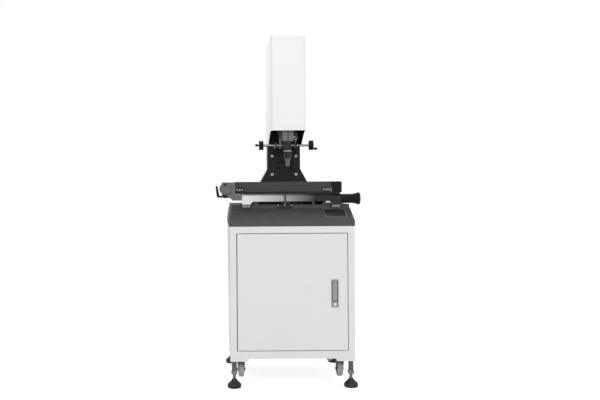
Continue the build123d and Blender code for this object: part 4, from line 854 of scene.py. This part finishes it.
lens_black = finish("lens black", (0.020, 0.020, 0.021), (0.013, 0.013, 0.014), 0.38, grain=50.0,
                    shine=0.35)
bright_ring = finish("bright ring", (0.62, 0.62, 0.62), (0.46, 0.46, 0.46), 0.30, metal=1.0, grain=60.0)
dark_glass = finish("dark glass", (0.012, 0.012, 0.016), (0.008, 0.008, 0.012), 0.06, spread=0.02,
                    grain=20.0)
dress(clamp_grey, "lens_clamp")
barrel_low, barrel_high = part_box("zoom_lens_barrel")
ring_low, ring_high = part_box("zoom_ring")
axis_place = (0, (barrel_low[1] + barrel_high[1]) / 2, 0)
barrel_r = (barrel_high[0] - barrel_low[0]) / 2
seat_r = barrel_r - SEAT_DEPTH
seat_low, seat_high = ring_low[2] - SEAT_CLEAR, ring_high[2] + SEAT_CLEAR
barrel_rows = ((0.0130, barrel_low[2]), (0.0165, barrel_low[2] + 0.0006), (barrel_r, barrel_low[2] + 0.003),
               (barrel_r, barrel_low[2] + 0.008), (barrel_r - 0.0006, barrel_low[2] + 0.0088),
               (barrel_r, barrel_low[2] + 0.0096), (barrel_r, seat_low), (seat_r, seat_low),
               (seat_r, seat_high), (barrel_r, seat_high), (barrel_r, barrel_high[2]))
collar_r = barrel_r + COLLAR_PROUD
collar_rows = ((seat_r, seat_high + 0.0045), (collar_r, seat_high + 0.0050),
               (collar_r, seat_high + 0.0075), (seat_r, seat_high + 0.0080))
add_piece("zoom_lens_detail", "head",
          [(skin(turned(barrel_rows, axis_place, "z", 72)), lens_black),
           (skin(turned(collar_rows, axis_place, "z", 72), looped=True), lens_black)],
          ("zoom_lens_barrel",))

ring_r = (ring_high[0] - ring_low[0]) / 2
inner_r = seat_r + RING_CLEAR
grip_r = ring_r - RING_STEP
band_low = ring_high[2] - BRIGHT_BAND
zoom_rows = ((inner_r, ring_low[2]), (grip_r - 0.0008, ring_low[2]), (grip_r, ring_low[2] + 0.001),
             (grip_r, ring_low[2] + 0.002, 0, RING_RIB), (grip_r, band_low - 0.001, 0, RING_RIB),
             (grip_r, band_low), (inner_r, band_low))
band_rows = ((inner_r, band_low + RING_CLEAR), (grip_r - 0.0002, band_low + RING_CLEAR),
             (grip_r, band_low + 0.0004), (grip_r, ring_high[2] - 0.0006),
             (grip_r - 0.0006, ring_high[2]), (inner_r, ring_high[2]))
ring_middle = (ring_low[2] + band_low) / 2
prongs = []
for side, axis in ((-1, "-x"), (1, "x")):
    prong_foot = (side * (ring_r - PRONG_SINK), axis_place[1], ring_middle)
    prongs.append((skin(turned(PRONG_ROWS, prong_foot, axis, 20)), dark_steel))
add_piece("zoom_ring_detail", "zoom",
          [(skin(turned(zoom_rows, axis_place, "z", 240, 40), looped=True), lens_black),
           (skin(turned(band_rows, axis_place, "z", 96), looped=True), bright_ring)] + prongs,
          ("zoom_ring",))

nose_low, nose_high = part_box("objective_lens")
nose_rows = ((0.0088, nose_low[2]), (NOSE_R - 0.0004, nose_low[2] + 0.0002), (NOSE_R, nose_low[2] + 0.001),
             (NOSE_R, nose_low[2] + 0.0085), (NOSE_R - 0.0005, nose_low[2] + 0.0090),
             (NOSE_R, nose_low[2] + 0.0095), (NOSE_R, nose_low[2] + 0.0225), (0.0122, nose_low[2] + 0.0285),
             (NOSE_TOP_R, nose_high[2] - 0.0010), (NOSE_TOP_R, nose_high[2]))
glass_place = (0, axis_place[1], nose_low[2])
add_piece("objective_detail", "head",
          [(skin(turned(nose_rows, axis_place, "z", 72)), lens_grey),
           (skin(turned(GLASS_ROWS, glass_place, "z", 48)), dark_glass)], ("objective_lens",))

clamp_low, clamp_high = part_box("lens_clamp")
clamp_screws = []
for z in (clamp_low[2] + CLAMP_SCREW_INSET, clamp_high[2] - CLAMP_SCREW_INSET):
    clamp_place = (clamp_high[0], axis_place[1] - CLAMP_SCREW_FORWARD, z)
    clamp_screws += cap_screw(clamp_place, CLAMP_SCREW_R, CLAMP_SCREW_HEIGHT, "x")
add_piece("clamp_screws", "head", clamp_screws)


# Cover. One folded sheet-steel hood in smooth white enamel, its inside faces coloured near black; a face is
# inside where its normal n points at the cover's middle c, n.(p - c) < 0. The raw hem stays pale.
INSIDE_FACE_BLACK = (0.018, 0.018, 0.018)
cover_white = finish("cover white", (0.865, 0.865, 0.86), (0.835, 0.835, 0.83), 0.42, grain=4.0,
                     skin=0.2, skin_depth=0.0003, coat=0.1)
dress(cover_white, "head_cover_and_strips")
cover_low, cover_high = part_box("head_cover_and_strips")
cover_tree = cover_white.node_tree
cover_link = cover_tree.links.new
cover_place = cover_tree.nodes.new("ShaderNodeTexCoord")
from_middle = cover_tree.nodes.new("ShaderNodeVectorMath")
from_middle.operation = "SUBTRACT"
from_middle.inputs[1].default_value = [(a + b) / 2 for a, b in zip(cover_low, cover_high)]
outward = cover_tree.nodes.new("ShaderNodeVectorMath")
outward.operation = "DOT_PRODUCT"
inward = cover_tree.nodes.new("ShaderNodeMath")
inward.operation = "LESS_THAN"
inward.inputs[1].default_value = 0.0
inside_tone = cover_tree.nodes.new("ShaderNodeMix")
inside_tone.data_type = "RGBA"
inside_tone.inputs["B"].default_value = (*INSIDE_FACE_BLACK, 1)
cover_shader = cover_tree.nodes["Principled BSDF"]
outer_colour = cover_shader.inputs["Base Color"].links[0].from_socket
cover_link(cover_place.outputs["Object"], from_middle.inputs[0])
cover_link(from_middle.outputs["Vector"], outward.inputs[0])
cover_link(cover_place.outputs["Normal"], outward.inputs[1])
cover_link(outward.outputs["Value"], inward.inputs[0])
cover_link(inward.outputs[0], inside_tone.inputs["Factor"])
cover_link(outer_colour, inside_tone.inputs["A"])
cover_link(inside_tone.outputs["Result"], cover_shader.inputs["Base Color"])
